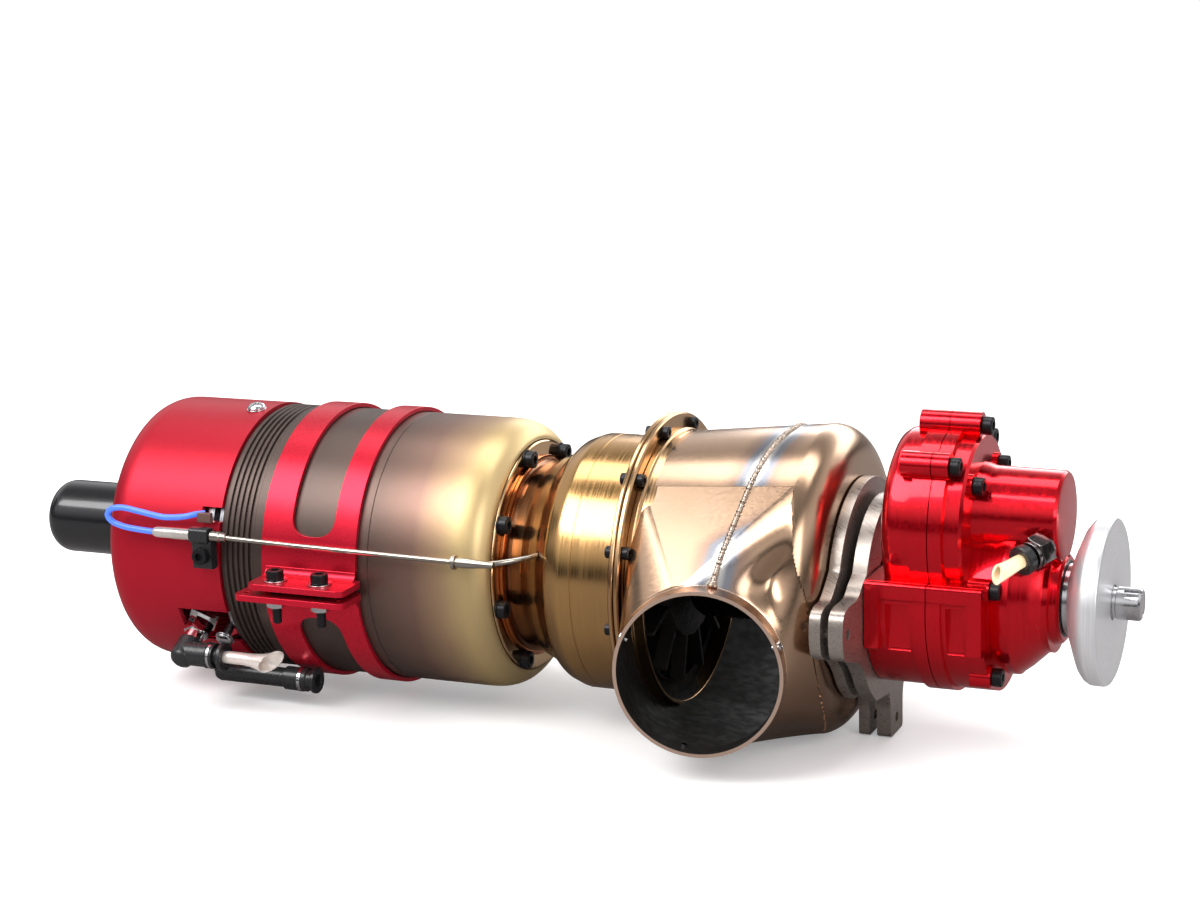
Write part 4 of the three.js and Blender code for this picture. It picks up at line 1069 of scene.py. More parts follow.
@dataclass
class Intake:
    """The red cover, the bellmouth behind it and the compressor wheel.

    Attributes:
        radius: outside radius of the cover.
        wall: its wall.
        mouth: radius of the opening.
        front: station of its front edge.
        back: station of its back edge.
    """

    radius: float = 44.5
    wall: float = 1.8
    mouth: float = 37.0
    front: float = -135.4
    back: float = -91.3

    def cover(self) -> Shape:
        """Turns the cover: a quarter of an ellipse rounds its front edge, inside and out."""
        r, w, f = self.radius, self.wall, self.front
        turn = np.linspace(math.pi / 2, 0, 12)
        outer = [(f + 8.5 - 8.5 * math.sin(t), r - 5.5 + 5.5 * math.cos(t)) for t in turn]
        inner = [(f + 8.5 - 6.7 * math.sin(t), r - w - 4.2 + 4.2 * math.cos(t)) for t in turn[::-1]]
        profile = [*outer, (self.back, r), (self.back, r - w), *inner, (f + w, self.mouth), (f, self.mouth)]
        return lathe(profile, 160)

    def blade(self, start: float, phase: float) -> Shape:
        """One compressor blade: a thin sheet between hub and tip whose angle round the axis grows
        with the station, fastest at the eye.

        Args:
            start: station of its leading edge.
            phase: angle of the blade, radians.

        Returns:
            The closed blade.
        """
        rows, across = 16, 6  # corners along the blade and from hub to tip
        s = np.linspace(0, 1, rows)[:, None]
        u = np.linspace(0, 1, across)[None, :]
        x = start + (-93.4 - start) * s + 0 * u
        hub = np.interp(x, [-107, -101, -96.5, -93], [6.0, 9.2, 16.6, 29.0])
        tip = np.interp(x, [-107, -101, -97, -95.2, -93], [18.6, 20.8, 27.2, 30.6, 30.6])
        r = hub + (tip - hub) * u
        angle = phase + 0.95 * (1 - s) ** 2 + 0.25 * s
        half = 0.32 / r
        low, high = (
            np.stack([x, r * np.sin(at), r * np.cos(at)], -1).reshape(-1, 3)
            for at in (angle - half, angle + half)
        )
        i, j = np.meshgrid(np.arange(rows - 1), np.arange(across - 1), indexing="ij")
        quads = np.stack([i * across + j, i * across + j + 1, (i + 1) * across + j + 1,
                          (i + 1) * across + j], -1)
        triangles = [tuple(int(k) for k in q) for q in quads.reshape(-1, 4)]
        return shell_of(np.zeros((rows * across, 2)), triangles, high, low)

    def build(self) -> None:
        """Makes the cover with its notches, screws, the bellmouth and the wheel."""
        notch_probe = slab(-98.5, -90, -47, -30, 14, 18.6, 0.8)
        notch_fuel = slab(-110, -90, -47, -22, -28.5, -16.5, 1.5)
        screw_at, out = (-96.5, -6.4, 44.1), (0.0, -6.4, 44.1)
        bore = rod(-12, 6, 1.9, 32).aimed(screw_at, out)
        Piece("intake_cowl", self.cover(), RED_COVER, node="intake_cover", bevel=0.3,
              cuts=[notch_probe, notch_fuel, bore]).build()
        button = lathe([(-6, 0), (-6, 1.4), (0, 1.4), (0, 2.9), (0.5, 2.95), (1.2, 2.5), (1.6, 1.7),
                        (1.6, 1.0), (0.7, 0.95), (0.7, 0)], 48)
        seat = ring(-0.15, 0.25, 1.5, 3.3, 48)
        heads = [merged([button.moved(0.25), seat]).aimed(screw_at, out).turned(a) for a in (0, 2.09, 4.19)]
        Piece("cowl_screws", merged(heads), PLATED, bevel=0.1).build()
        eye = [(-119, 36.0), (-118.4, 34.2), (-117, 32.6), (-115, 28), (-113.6, 23.5), (-112, 21),
               (-110, 19.8), (-107, 19.3), (-104, 19.9), (-101, 21.5), (-98.6, 24.6), (-97, 28),
               (-95.9, 31.3), (-95.3, 41.9), (-97.5, 41.9), (-97.5, 33), (-103, 24), (-111, 23.5),
               (-115.4, 34), (-117, 37.4)]
        Piece("bellmouth", lathe(eye, 128), BARE, node="compressor_shroud", bevel=0,
              cuts=[notch_fuel, bore]).build()
        hub = lathe([(-107, 4.3), (-107, 6.4), (-104, 7.4), (-101, 9.5), (-98.5, 13), (-96.5, 17.4),
                     (-95, 23), (-94, 29.6), (-92, 29.6), (-92, 9), (-89, 7), (-89, 4.3)], 96)
        blades = [self.blade(-106.4, i * math.pi / 3.5) for i in range(7)]
        blades += [self.blade(-101.6, (i + 0.5) * math.pi / 3.5) for i in range(7)]
        Piece("impeller", merged([hub, *blades]), BARE, Body.GAS_ROTOR, "compressor_wheel", 0).build()


# ---------- gas generator


@dataclass
class Casing:
    """The heat-tinted casing of the gas generator with its ribbed band and round shoulder.

    Attributes:
        radius: outside radius.
        front: station where it meets the cover.
        shoulder: [station, radius] points that the rounded tail passes through.
    """

    radius: float = 44.0
    front: float = -91.0
    shoulder: tuple[tuple[float, float], ...] = (
        (-10.0, 44.0), (-6.5, 43.85), (-3.7, 43.3), (-1.6, 42.5), (-0.1, 41.5), (1.2, 40.2), (2.2, 38.9),
        (2.6, 37.7),
    )

    def build(self) -> None:
        """Turns the casing: each rib is a low step between two shallow grooves."""
        r = self.radius
        ribs: list[tuple[float, float]] = []
        for i in range(6):
            at = self.front + 0.8 + i * 2.0
            ribs += [(at, r - 0.75), (at + 0.45, r - 0.75), (at + 0.75, r + 0.02), (at + 1.55, r + 0.02),
                     (at + 1.8, r - 0.75)]
        seam = [(-37.4, r), (-37.25, r - 0.25), (-36.95, r - 0.25), (-36.8, r)]
        tail = spline(self.shoulder, 28).tolist()
        inner = [(1.2, 37.7), (0.2, 39.0), (-3.4, 41.6), (-8, r - 1.2), (-77, r - 1.2), (-78, 41),
                 (self.front, 41)]
        profile = [(self.front, r - 0.75), *ribs, (-78.6, r), *seam, *tail, *inner]
        Piece("casing_can", lathe(profile, 192), CASING, node="outer_casing", bevel=0, angle=40).build()


@dataclass
class TailFlange:
    """The mirror-bright flange inside the casing's shoulder with its ring of cap screws.

    Attributes:
        screw_circle: radius that the screws sit on.
        count: number of screws.
        phase: angle of the first screw from the top, radians.
    """

    screw_circle: float = 35.0
    count: int = 8
    phase: float = math.radians(15.0)

    def build(self) -> None:
        """Makes the flange and its screws."""
        profile = [(-2.6, 28.8), (-2.6, 32), (1, 32), (1, 37.3), (2.9, 37.3), (3.3, 36.9), (3.4, 36.4),
                   (3.4, 31.0), (3.0, 30.6), (3.0, 28.8)]
        Piece("tail_disc", lathe(profile, 160), MIRROR_BRONZE, node="tail_flange", bevel=0.15).build()
        screw = merged([socket_screw(2.75, 3.0, 1.5, 2.0), washer(-0.02, 1.4, 3.1, 0.35)])
        screw = screw.aimed((3.5, -self.screw_circle, 0), AHEAD)
        Piece("tail_screws", merged(around(screw, self.count, self.phase)), BLACK_SCREW, bevel=0).build()


def wrapped(outline: Corners, holes: Sequence[Corners], r0: float, r1: float, step: float) -> Shape:
    """A plate bent round the main axis.

    The flat pattern's first number is the station and its second the distance round the outer
    face, counted from the near side upwards, so a corner goes to the angle distance over radius.

    Args:
        outline: corners of the flat pattern.
        holes: corners of each window.
        r0: inside radius.
        r1: outside radius.
        step: spacing of the extra corners that let it bend.

    Returns:
        The bent plate.
    """
    flat, triangles = flat_pattern(outline, holes, step)
    angle = flat[:, 1] / r1
    sides = [np.column_stack([flat[:, 0], -r * np.cos(angle), r * np.sin(angle)]) for r in (r0, r1)]
    return shell_of(flat, triangles, sides[0], sides[1])


def stretched(outline: Corners, step: float) -> list[tuple[float, float]]:
    """Adds corners along the sides of an outline so that none is longer than step."""
    out: list[tuple[float, float]] = []
    for a, b in zip(outline, list(outline[1:]) + [outline[0]]):
        count = max(1, math.ceil(math.dist(a, b) / step))
        out += [(a[0] + (b[0] - a[0]) * k / count, a[1] + (b[1] - a[1]) * k / count) for k in range(count)]
    return out


@dataclass
class Clamp:
    """The two red clamp halves with their windows, lug plates, screws, washers and nuts.

    Attributes:
        inside: inside radius of the straps.
        wall: their wall.
        start: station of the first edge.
        end: station of the last edge.
        split: height of the split above the main axis.
        gap: space between the lug plates.
        plate: thickness of a lug plate.
        reach: distance of the lug edge from the centre plane.
        screw_y: distance of the screws from the centre plane.
        stations: stations of the screws.
    """

    inside: float = 44.3
    wall: float = 1.4
    start: float = -74.7
    end: float = -40.7
    split: float = -3.3
    gap: float = 2.0
    plate: float = 2.0
    reach: float = 59.0
    screw_y: float = 53.0
    stations: tuple[float, float] = (-65.5, -49.5)

    def half(self, sign: int) -> Shape:
        """Bends one strap half over the top or under the bottom.

        Args:
            sign: 1 for the upper half, -1 for the lower.

        Returns:
            The strap with its round-ended window.
        """
        r = self.inside + self.wall
        edge = self.split + sign * (self.gap / 2 + 0.2)
        low = r * math.asin(edge / r)
        high = math.pi * r - low
        if sign < 0:
            low, high = -(math.pi * r) - low, low
        outline = stretched([(self.start, low), (self.end, low), (self.end, high), (self.start, high)], 2.2)
        x0, x1 = self.start + 10.4, self.end - 8.2
        near = 12.5 if sign > 0 else -15.0
        far = math.pi * r - near if sign > 0 else -math.pi * r - near
        a, b = min(near, far), max(near, far)
        window = stretched(rounded([(x0, a), (x1, a), (x1, b), (x0, b)], 7.5, 8), 2.2)
        return wrapped(outline, [window], self.inside, r, 2.6)

    def lug(self, sign: int, side: int) -> Shape:
        """One flat lug plate with rounded outer corners and screw holes, and two small holes on the lower
        plate; fold makes the round bend into the strap.

        Args:
            sign: 1 for the upper plate, -1 for the lower.
            side: -1 for the near side, 1 for the far side.

        Returns:
            The plate.
        """
        start = self.start - (3.3 if sign < 0 else -1.7)
        end = self.end + 2.2
        root = self.inside + 0.5
        corners = rounded([(start, root), (end, root), (end, self.reach), (start, self.reach)], 3.0, 6)
        holes = [circle(x, self.screw_y, 1.8, 24) for x in self.stations]
        small = [circle(start + 3.2, self.screw_y + 2.2, 0.9, 16),
                 circle(end - 3.2, self.screw_y + 2.2, 0.9, 16)]
        if sign < 0:
            holes += small
        points, triangles = flat_pattern(corners, holes)
        z0 = self.split + (self.gap / 2 if sign > 0 else -self.gap / 2 - self.plate)
        low = np.column_stack([points[:, 0], points[:, 1], np.full(len(points), z0)])
        high = low + [0, 0, self.plate]
        made = shell_of(points, triangles, low, high)
        return made.facing(side > 0)

    def fold(self, sign: int, side: int) -> Shape:
        """The round bend between strap and lug plate, a bar of curved three-sided section."""
        level = self.split + sign * (self.gap / 2 + self.plate)
        r = self.inside + self.wall
        section = [(r - 1.2, level - sign * 0.8), (r + 2.8, level - sign * 0.2)]
        section += arc(r + 2.6, level + sign * 2.5, 2.5, -sign * math.pi / 2, -sign * math.pi, 6)
        section += [(r - 1.2, level + sign * 2.8)]
        if sign < 0:
            section.reverse()
        made = plate(section, [], self.start + (1.7 if sign > 0 else 0), self.end)
        return made.facing(side > 0)

    def build(self) -> None:
        """Makes both halves with all their fasteners."""
        for sign, name in ((1, "upper"), (-1, "lower")):
            lugs = [self.lug(sign, side) for side in (-1, 1)]
            folds = [self.fold(sign, side) for side in (-1, 1)]
            Piece(f"strap_{name}", merged([self.half(sign), *lugs, *folds]), RED_STRAP, node=f"clamp_{name}",
                  bevel=0.22, angle=50).build()
        top = self.split + self.gap / 2 + self.plate
        under = self.split - self.gap / 2 - self.plate
        for side, label in ((-1, "near"), (1, "far")):
            for i, x in enumerate(self.stations, 1):
                seat = (x, side * self.screw_y)
                screw = socket_screw(2.75, 3.0, 1.5, 14.5).aimed((*seat, top + 0.6), UP)
                Piece(f"lug_cap_{label}_{i}", screw, BLACK_SCREW, node=f"lug_screw_{label}_{i}",
                      bevel=0).build()
                disc = washer(0.05, 1.7, 3.9, 0.5).aimed((*seat, top), UP)
                low = washer(-0.55, 1.7, 3.5, 0.5).aimed((*seat, under), UP)
                thin = hexagon_bar(-2.6, -0.6, 5.5, 1.7).aimed((*seat, under), UP)
                Piece(f"lug_washers_{label}_{i}", merged([disc, low, thin]), PLATED,
                      node=f"lug_nut_{label}_{i}", bevel=0.1).build()


@dataclass
class Probe:
    """The exhaust temperature probe: steel tube, ferrule, clip, clear sleeve and blue lead.

    Attributes:
        side: distance of the tube from the centre plane, negative on the near side.
        height: height of the ferrule.
        rise: how much higher the clip end sits.
        radius: radius of the tube.
    """

    side: float = -47.1
    height: float = 9.0
    rise: float = 1.7
    radius: float = 0.9

    def build(self) -> None:
        """Makes every piece of the probe."""
        y, z, up = self.side, self.height, self.height + self.rise
        line = [(-99.5, y, up), (-91, y, up), (-70, y - 0.2, up - 0.5), (-48, y - 0.4, z + self.rise / 2),
                (-4, y + 0.2, z)]
        tip = [(-2, y + 0.2, z), (2, y + 0.2, z), (7, y + 1.8, z), (12, -42, z + 0.4), (16, -37, z + 0.6),
               (19.4, -30, z + 0.6)]
        ferrule = lathe([(-5.8, 0), (-5.8, 1.7), (-5.4, 2.3), (-4.3, 2.3), (-4.1, 1.6), (-1, 1.7), (4, 1.25),
                         (8.5, 0.95), (8.5, 0)], 40, y + 0.2, z)
        collar = lathe([(-91.5, 0), (-91.5, 1.9), (-88.6, 1.9), (-88.2, 1.5), (-86.4, 1.4), (-86.2, 1.2),
                        (-86.2, 0)], 40, y, up)
        Piece("probe_line", merged([pipe(spline(line, 40), 0.85), pipe(spline(tip, 40), self.radius),
                ferrule, collar]), PROBE_STEEL, node="probe_tube", bevel=0).build()
        block = slab(-99.2, -92.4, y - 2.1, -44.8, up - 2.4, up + 2.6, 1.4)
        foot = slab(-98.6, -91.6, y - 1.2, -44.8, -0.2, up - 1.6, 0.8)
        Piece("probe_block", block, BLACK_PLASTIC, node="probe_clip", bevel=0.35, joins=[foot]).build()
        screw = socket_screw(2.7, 2.5, 1.5, 2.5).aimed((-94.8, y - 1.2, 4.4), (0, -1, 0))
        Piece("probe_block_screw", screw, BLACK_SCREW, node="probe_clip_screw", bevel=0).build()
        skin = lathe([(-113.5, 0), (-113.4, 1.35), (-112, 1.75), (-106, 1.85), (-99.4, 1.85), (-99.4, 0)],
                     40, y, up)
        Piece("probe_shrink", skin, SLEEVE, node="probe_sleeve", bevel=0.2).build()
        loop = [(-108.5, y, up), (-114, y, up), (-118.5, y - 0.2, up + 0.3), (-124, y - 0.7, up + 1.0),
                (-128.4, y - 1, up + 2.5), (-130.1, y - 1, up + 4.6), (-128.7, y - 1, up + 6.7),
                (-124.6, y - 0.6, up + 7.4), (-118, y - 0.2, up + 6.4), (-110, y + 0.6, up + 5.0),
                (-103, y + 1.2, up + 5.4), (-98.9, y + 2.4, up + 6.2), (-96.6, y + 4.6, up + 6.2)]
        Piece("probe_wire", pipe(spline(loop, 120), 1.0), BLUE_WIRE, node="probe_lead", bevel=0).build()
        tab = slab(-98.0, -93.0, -45.2, -43.6, 14.4, 17.6, 0.3)
        Piece("probe_tab", tab, BROWN_TAB, bevel=0.15).build()


@dataclass
class FuelFittings:
    """The chrome nipple with its push-in elbow and cut tube, and the second push-in barrel.

    Attributes:
        station: station of the nipple.
        angle: angle below the horizontal, radians.
        second: the same angle for the second barrel.
        reach: distance of the elbow's axis from the main axis.
    """

    station: float = -104.6
    angle: float = 0.56
    second: float = 0.94
    reach: float = 55.8

    def at(self, distance: float) -> tuple[float, float, float]:
        """Point on the nipple's own axis at a distance from the main axis."""
        return (self.station, -math.cos(self.angle) * distance, -math.sin(self.angle) * distance)

    def build(self) -> None:
        """Makes the fittings."""
        out = (0.0, -math.cos(self.angle), -math.sin(self.angle))
        flange = slab(0, 1.8, -4.6, 4.6, -4.6, 4.6, 0.5).aimed(self.at(40.5), out)
        neck = lathe([(-3, 0), (-3, 2.4), (1, 2.4), (1, 3.3), (10.6, 3.3), (10.6, 2.2), (12.6, 2.0),
                      (12.6, 0)], 48).aimed(self.at(40.5), out)
        hexagon = hexagon_bar(1.6, 7.4, 7.2).aimed(self.at(40.5), out)
        Piece("nipple_chrome", merged([flange, neck, hexagon]), CHROME, node="fuel_nipple",
              bevel=0.2).build()
        centre = self.at(self.reach)
        head = lathe([(-4.9, 0), (-4.9, 3.7), (-4.5, 4.1), (2.2, 4.1), (3.4, 3.5), (4.3, 2.2), (4.3, 0)],
                     64).aimed(centre, out)
        y, z = centre[1], centre[2]
        x = self.station
        barrel = lathe([(x - 0.5, 0), (x - 0.2, 3.6), (x, 4.0), (x + 8.6, 4.0), (x + 8.7, 4.3),
                        (x + 9.6, 4.3), (x + 9.7, 4.15), (x + 12, 4.15), (x + 12, 3.2), (x + 6.4, 3.2),
                        (x + 6.4, 0)], 64, y, z)
        Piece("elbow_body", merged([head, barrel]), BLACK_PLASTIC, Body.ELBOW, "fuel_elbow", 0.2).build()
        band = ring(x + 10.2, x + 11.1, 3.9, 4.32, 64, y, z)
        Piece("elbow_band", band, PLATED, Body.ELBOW, bevel=0.08).build()
        c = x + 12
        collar = lathe([(c - 3.8, 2.3), (c + 3.4, 2.3), (c + 3.6, 2.6), (c + 3.6, 4.4), (c + 3.3, 4.7),
                        (c + 2.2, 4.7), (c + 1.6, 4.1), (c + 1.6, 2.9), (c - 3.8, 2.9)], 64, y, z)
        Piece("elbow_collar", collar, BLACK_PLASTIC, Body.ELBOW_COLLET, "fuel_collet", 0.12).build()
        self.tube(c, y, z)
        self.barrel()

    def tube(self, c: float, y: float, z: float) -> None:
        """The tube end, straight, then flaring into a slanted cut that gapes upwards.

        Its radius is 2 up to the flare and then grows with the square of the distance, while the
        cut runs from long below to short above.
        """
        s = np.linspace(0, 1, 40)[:, None]
        length = 25.5 + 3.5 * np.cos(FINE_ANGLES - 0.9)
        flare = np.clip((s - 0.62) / 0.38, 0, 1) ** 2
        tube = cut_tube(c - 5.2 + length * s, [2.05 - wall + flare for wall in (0.0, 0.55)],
                        1 + 0.25 * flare)
        Piece("tube_end", tube.moved(0, y, z), CLEAR_TUBE, Body.ELBOW, "fuel_tube", 0).build()

    def barrel(self) -> None:
        """The second push-in fitting under the cover."""
        c, s = math.cos(self.second), math.sin(self.second)
        foot = lathe([(0, 0), (0, 3.4), (6, 3.4), (7, 2.6), (7, 0)], 48)
        foot = foot.aimed((-101, -44.8 * c, -44.8 * s), (0, -c, -s))
        y, z = -50.5 * c, -50.5 * s
        body = lathe([(-103.5, 0), (-103, 2.6), (-101.5, 3.2), (-77, 3.2), (-76.8, 3.9), (-68.6, 3.9),
                      (-68.4, 3.4), (-66.6, 3.4), (-66.4, 4.2), (-65.2, 4.2), (-65.2, 2.0), (-72, 2.0),
                      (-72, 0)], 64, y, z)
        Piece("second_barrel", merged([foot, body]), BLACK_PLASTIC, node="gas_fitting", bevel=0.2).build()
        Piece("second_band", ring(-71.4, -70.2, 3.7, 4.05, 64, y, z), PLATED, bevel=0.08).build()


# ---------- power turbine section


@dataclass
class PowerSection:
    """The neck, the bronze drum and the stacked ring flange with its screws.

    Attributes:
        screw_circle: radius of the ring flange's screws.
        phase: angle of the first screw from the top, radians.
    """

    screw_circle: float = 46.0
    phase: float = math.radians(10.5 - 90)

    def build(self) -> None:
        """Makes the drum, the rings and their screws."""
        neck = spline([(9.9, 31.4), (12.8, 32.9), (14.6, 33.7), (17, 34.8), (18.6, 36.3), (21.3, 38.9),
                       (23.4, 39.9), (25.8, 40.8)], 24).tolist()
        outer = [(3.8, 31.2), (4.7, 31.2), (5.2, 30.2), (6.2, 30.2), (6.7, 30.9), *neck, (26.8, 41),
                 (31.0, 41), (31.1, 40.85), (31.3, 40.85), (31.4, 41), (46.7, 41)]
        inner = [(46.7, 39.8), (26.4, 39.8), (23.4, 38.6), (19.6, 35.2), (15.6, 32.2), (9, 30.0), (6, 28.8),
                 (3.8, 28.8)]
        tip = spline([(7, -45.3, 9), (12, -42, 9.4), (16, -37, 9.6), (19.4, -30, 9.6)], 20)
        Piece("drum", lathe(outer + inner, 192), BRONZE, node="interstage_duct", bevel=0,
              cuts=[pipe(tip, 1.3)]).build()
        Piece("copper_band", lathe([(3.5, 31.25), (3.5, 32.6), (4.4, 32.6), (4.7, 31.9), (4.7, 31.25)], 160),
              COPPER_RING, bevel=0.1).build()
        rear = [(47, 38.8), (47, 48.6), (47.4, 49), (48.2, 49), (48.55, 48.7), (48.55, 38.8)]
        front = [(48.85, 36.7), (50.5, 36.7), (50.5, 48.5), (50.1, 49), (49.2, 49), (48.85, 48.7)]
        Piece("ring_rear", lathe(rear, 192), RING_STEEL, node="ring_flange_rear", bevel=0.08).build()
        Piece("ring_front", lathe(front, 192), RING_STEEL, node="ring_flange_front", bevel=0.08).build()
        Piece("drum_lip", ring(45.2, 46.9, 41.05, 43.4, 192), RING_STEEL, bevel=0.2).build()
        small = socket_screw(1.9, 2.0, 1.0, 0.5)
        ahead = small.aimed((50.55, -self.screw_circle, 0), AHEAD)
        behind = small.aimed((46.95, -self.screw_circle, 0), (-1, 0, 0))
        Piece("ring_screws_front", merged(around(ahead, 12, self.phase)), BLACK_SCREW, bevel=0).build()
        Piece("ring_screws_rear", merged(around(behind, 12, self.phase)), BLACK_SCREW, bevel=0).build()


def bell(angle: np.ndarray, middle: float, width: float) -> np.ndarray:
    """Height of a bell curve round a circle, one in its middle."""
    swing = (angle - middle + math.pi) % TURN - math.pi
    return np.exp(-((swing / width) ** 2))


def distance_to(points: np.ndarray, line: np.ndarray) -> np.ndarray:
    """Smallest distance from each point to the points of a line."""
    return np.min([np.linalg.norm(points - p, axis=1) for p in line[::2]], axis=0)


@dataclass
class ExhaustDuct:
    """The two-horned exhaust duct.

    Each horn is the skin that a flat sheet takes when it is wrapped over the round body and the
    round outlet: from each point of the outlet's edge a straight line runs to the point of the
    body that shares its tangent plane.

    Attributes:
        outlet: centre of the near outlet.
        outlet_radius: outside radius of the outlet.
        lean: turn of the outlets towards the propeller, radians.
        wall: thickness of the sheet.
        seam: place where the weld meets the outlet's collar, radians from the propeller side upwards.
        seam_top: station where the weld reaches the top of the body.
    """

    outlet: tuple[float, float, float] = (80.0, -60.0, -15.3)
    outlet_radius: float = 25.6
    lean: float = 0.19
    wall: float = 1.1
    seam: float = 1.42
    seam_top: float = 91.0

    @property
    def out(self) -> np.ndarray:
        """Direction in which the near outlet opens."""
        return np.array([math.sin(self.lean), -math.cos(self.lean), 0.0])

    @property
    def side(self) -> np.ndarray:
        """Level direction across the near outlet, towards the propeller."""
        return np.array([math.cos(self.lean), math.sin(self.lean), 0.0])

    def body_profile(self, count: int) -> np.ndarray:
        """Outer line of the round body: straight from the inlet, then a quarter of an ellipse."""
        t = np.linspace(0, math.pi / 2, count)
        bend = np.column_stack([101 + 9.8 * np.sin(t), 37.4 + 11 * np.cos(t)])
        straight = np.linspace([50.8, 43.0], [101, 48.4], count)[:-1]
        return np.vstack([straight, bend])

    def horn_lines(self, count: int) -> tuple[np.ndarray, np.ndarray, np.ndarray]:
        """Finds the straight lines of the near horn.

        For each outlet point the tangent plane is swung about the outlet's edge until it touches
        the body, by halving the interval.

        Args:
            count: number of lines.

        Returns:
            Outlet points, body points and outward normals, one row per line.
        """
        u = np.arange(count) * (TURN / count)
        out = self.out
        radial = np.outer(np.cos(u), self.side) + np.outer(np.sin(u), [0, 0, 1.0])
        lip = np.array(self.outlet) + self.outlet_radius * radial
        profile = self.body_profile(400)

        def touch(normal: np.ndarray) -> tuple[np.ndarray, np.ndarray]:
            """Reach of the body along each normal, and the point that reaches farthest."""
            across = np.hypot(normal[:, 1], normal[:, 2])
            reach = np.outer(normal[:, 0], profile[:, 0]) + np.outer(across, profile[:, 1])
            best = np.argmax(reach, 1)
            r = profile[best, 1] / across
            point = np.column_stack([profile[best, 0], r * normal[:, 1], r * normal[:, 2]])
            return reach[np.arange(len(best)), best], point

        low, high = np.full(count, -math.pi / 2 + 1e-3), np.full(count, math.pi / 2 - 1e-3)
        for _ in range(40):
            mid = (low + high) / 2
            normal = np.cos(mid)[:, None] * radial + np.sin(mid)[:, None] * out
            above = touch(normal)[0] > np.sum(normal * lip, 1)
            low, high = np.where(above, mid, low), np.where(above, high, mid)
        normal = np.cos(low)[:, None] * radial + np.sin(low)[:, None] * out
        return lip, touch(normal)[1], normal

    def horn(self) -> tuple[Shape, np.ndarray, np.ndarray]:
        """Builds the near horn as a thin sheet with a collar at the outlet.

        A long shallow fold is pressed into it: the sheet sinks by a bell curve round the outlet
        times half a wave along the line.

        Returns:
            The shape, each corner's distance to the lip in millimetres, and which corners get painted shade
            (the inner skin).
        """
        count, rows = 288, 40
        lip, touch, normal = self.horn_lines(count)
        u = np.arange(count) * (TURN / count)
        v = np.linspace(0, 1, rows)[:, None, None]
        inner_lip = lip - self.out * 6.6
        line = inner_lip + (touch - inner_lip) * v
        wave = np.sin(math.pi * v[:, :, 0])
        fold = 4.4 * bell(u, 0.88, 0.30) * wave**1.2 + 2.0 * bell(u, -1.05, 0.35) * wave
        line = line - fold[:, :, None] * normal
        collar = lip + (inner_lip - lip) * np.linspace(0, 1, 8)[:-1, None, None]
        outer = np.concatenate([collar, line])
        inner = outer - self.wall * normal
        inner[:8] = outer[:8] - self.wall * (lip - np.array(self.outlet)) / self.outlet_radius
        whole = np.concatenate([outer, inner[::-1]])
        total = len(outer)
        faces = ring_faces(2 * total, count, True)
        shape = Shape(whole.reshape(-1, 3), faces)
        span = np.linalg.norm(touch - lip, axis=1)
        lip_mm = np.concatenate([np.linspace(0, 6.6, 8)[:-1, None] + 0 * u,
                6.6 + np.linspace(0, 1, rows)[:, None] * span])
        # The inner skin gets painted shade.
        black = np.repeat([False, True], lip_mm.size)
        return shape, np.concatenate([lip_mm, lip_mm[::-1]]).ravel(), black

    def body(self) -> tuple[Shape, np.ndarray]:
        """The round body as a thin sheet, open where the horns leave it.

        A patch is left out where some point of an outlet's edge lies above its tangent plane.

        Returns:
            The shape, and which corners get painted shade: the whole inside and a thin band of the outside
            beside the horns.
        """
        count = 240
        profile = np.vstack([self.body_profile(40), [[110.8, 30.0], [110.8, 22.0], [110.8, 15.6]]])
        step = np.gradient(profile, axis=0)
        normal = np.column_stack([-step[:, 1], step[:, 0]])
        normal /= np.linalg.norm(normal, axis=1, keepdims=True)
        inner = profile - normal * self.wall
        angle = np.arange(count) * (TURN / count)
        compass = np.stack([np.sin(angle), np.cos(angle)], -1)

        def grid(rows: np.ndarray) -> np.ndarray:
            """Turns the corners of a profile round the axis."""
            return np.concatenate([np.repeat(rows[:, None, 0:1], count, 1), rows[:, None, 1:2] * compass],
                                  -1)

        outer_points, inner_points, tangent = grid(profile), grid(inner), grid(normal)
        lip = self.horn_lines(96)[0]
        lips = np.vstack([lip, lip * [1, -1, 1]])
        over = np.max(tangent.reshape(-1, 3) @ lips.T, 1) - np.sum(tangent * outer_points, -1).ravel()
        over = over.reshape(len(profile), count)
        quads = np.array(ring_faces(len(profile), count, False))
        kept = np.max(over.ravel()[quads], 1) < 2.5
        flat = [tuple(int(k) for k in q) for q in quads[kept]]
        shell = shell_of(np.zeros((over.size, 2)), flat, inner_points.reshape(-1, 3),
                         outer_points.reshape(-1, 3))
        # The inside and the outside corners close under the horns are marked for painted shade.
        return shell, np.concatenate([np.ones(over.size, bool), over.ravel() > 2.2])

    def seam_line(self, skins: Sequence[Shape]) -> np.ndarray:
        """Points of the weld on the near side, from the collar to the top of the body.

        The line's station and its angle round the axis both grow evenly, and each point is where
        a line from outside towards the axis first meets the sheet.

        Args:
            skins: the near horn and the body.

        Returns:
            The points, one row each.
        """
        edge = math.cos(self.seam) * self.side + math.sin(self.seam) * np.array([0, 0, 1.0])
        start = np.array(self.outlet) + self.outlet_radius * edge - self.out * 6.9
        whole = merged(skins)
        tree = BVHTree.FromPolygons(whole.points.tolist(), whole.faces)
        rows = []
        first = math.atan2(start[2], -start[1])
        for t in np.linspace(0, 1, 120):
            station = start[0] + (self.seam_top - start[0]) * t
            angle = first + (math.pi / 2 - first) * t
            away = Vector((0, -math.cos(angle), math.sin(angle)))
            hit = tree.ray_cast(Vector((station, 0, 0)) + away * 120, -away)[0]
            if hit is not None:
                rows.append(list(hit))
        return np.array(rows)

    def weld(self, line: np.ndarray) -> Shape:
        """The weld bead, a pipe along the seam whose radius ripples, with a blob at the collar."""

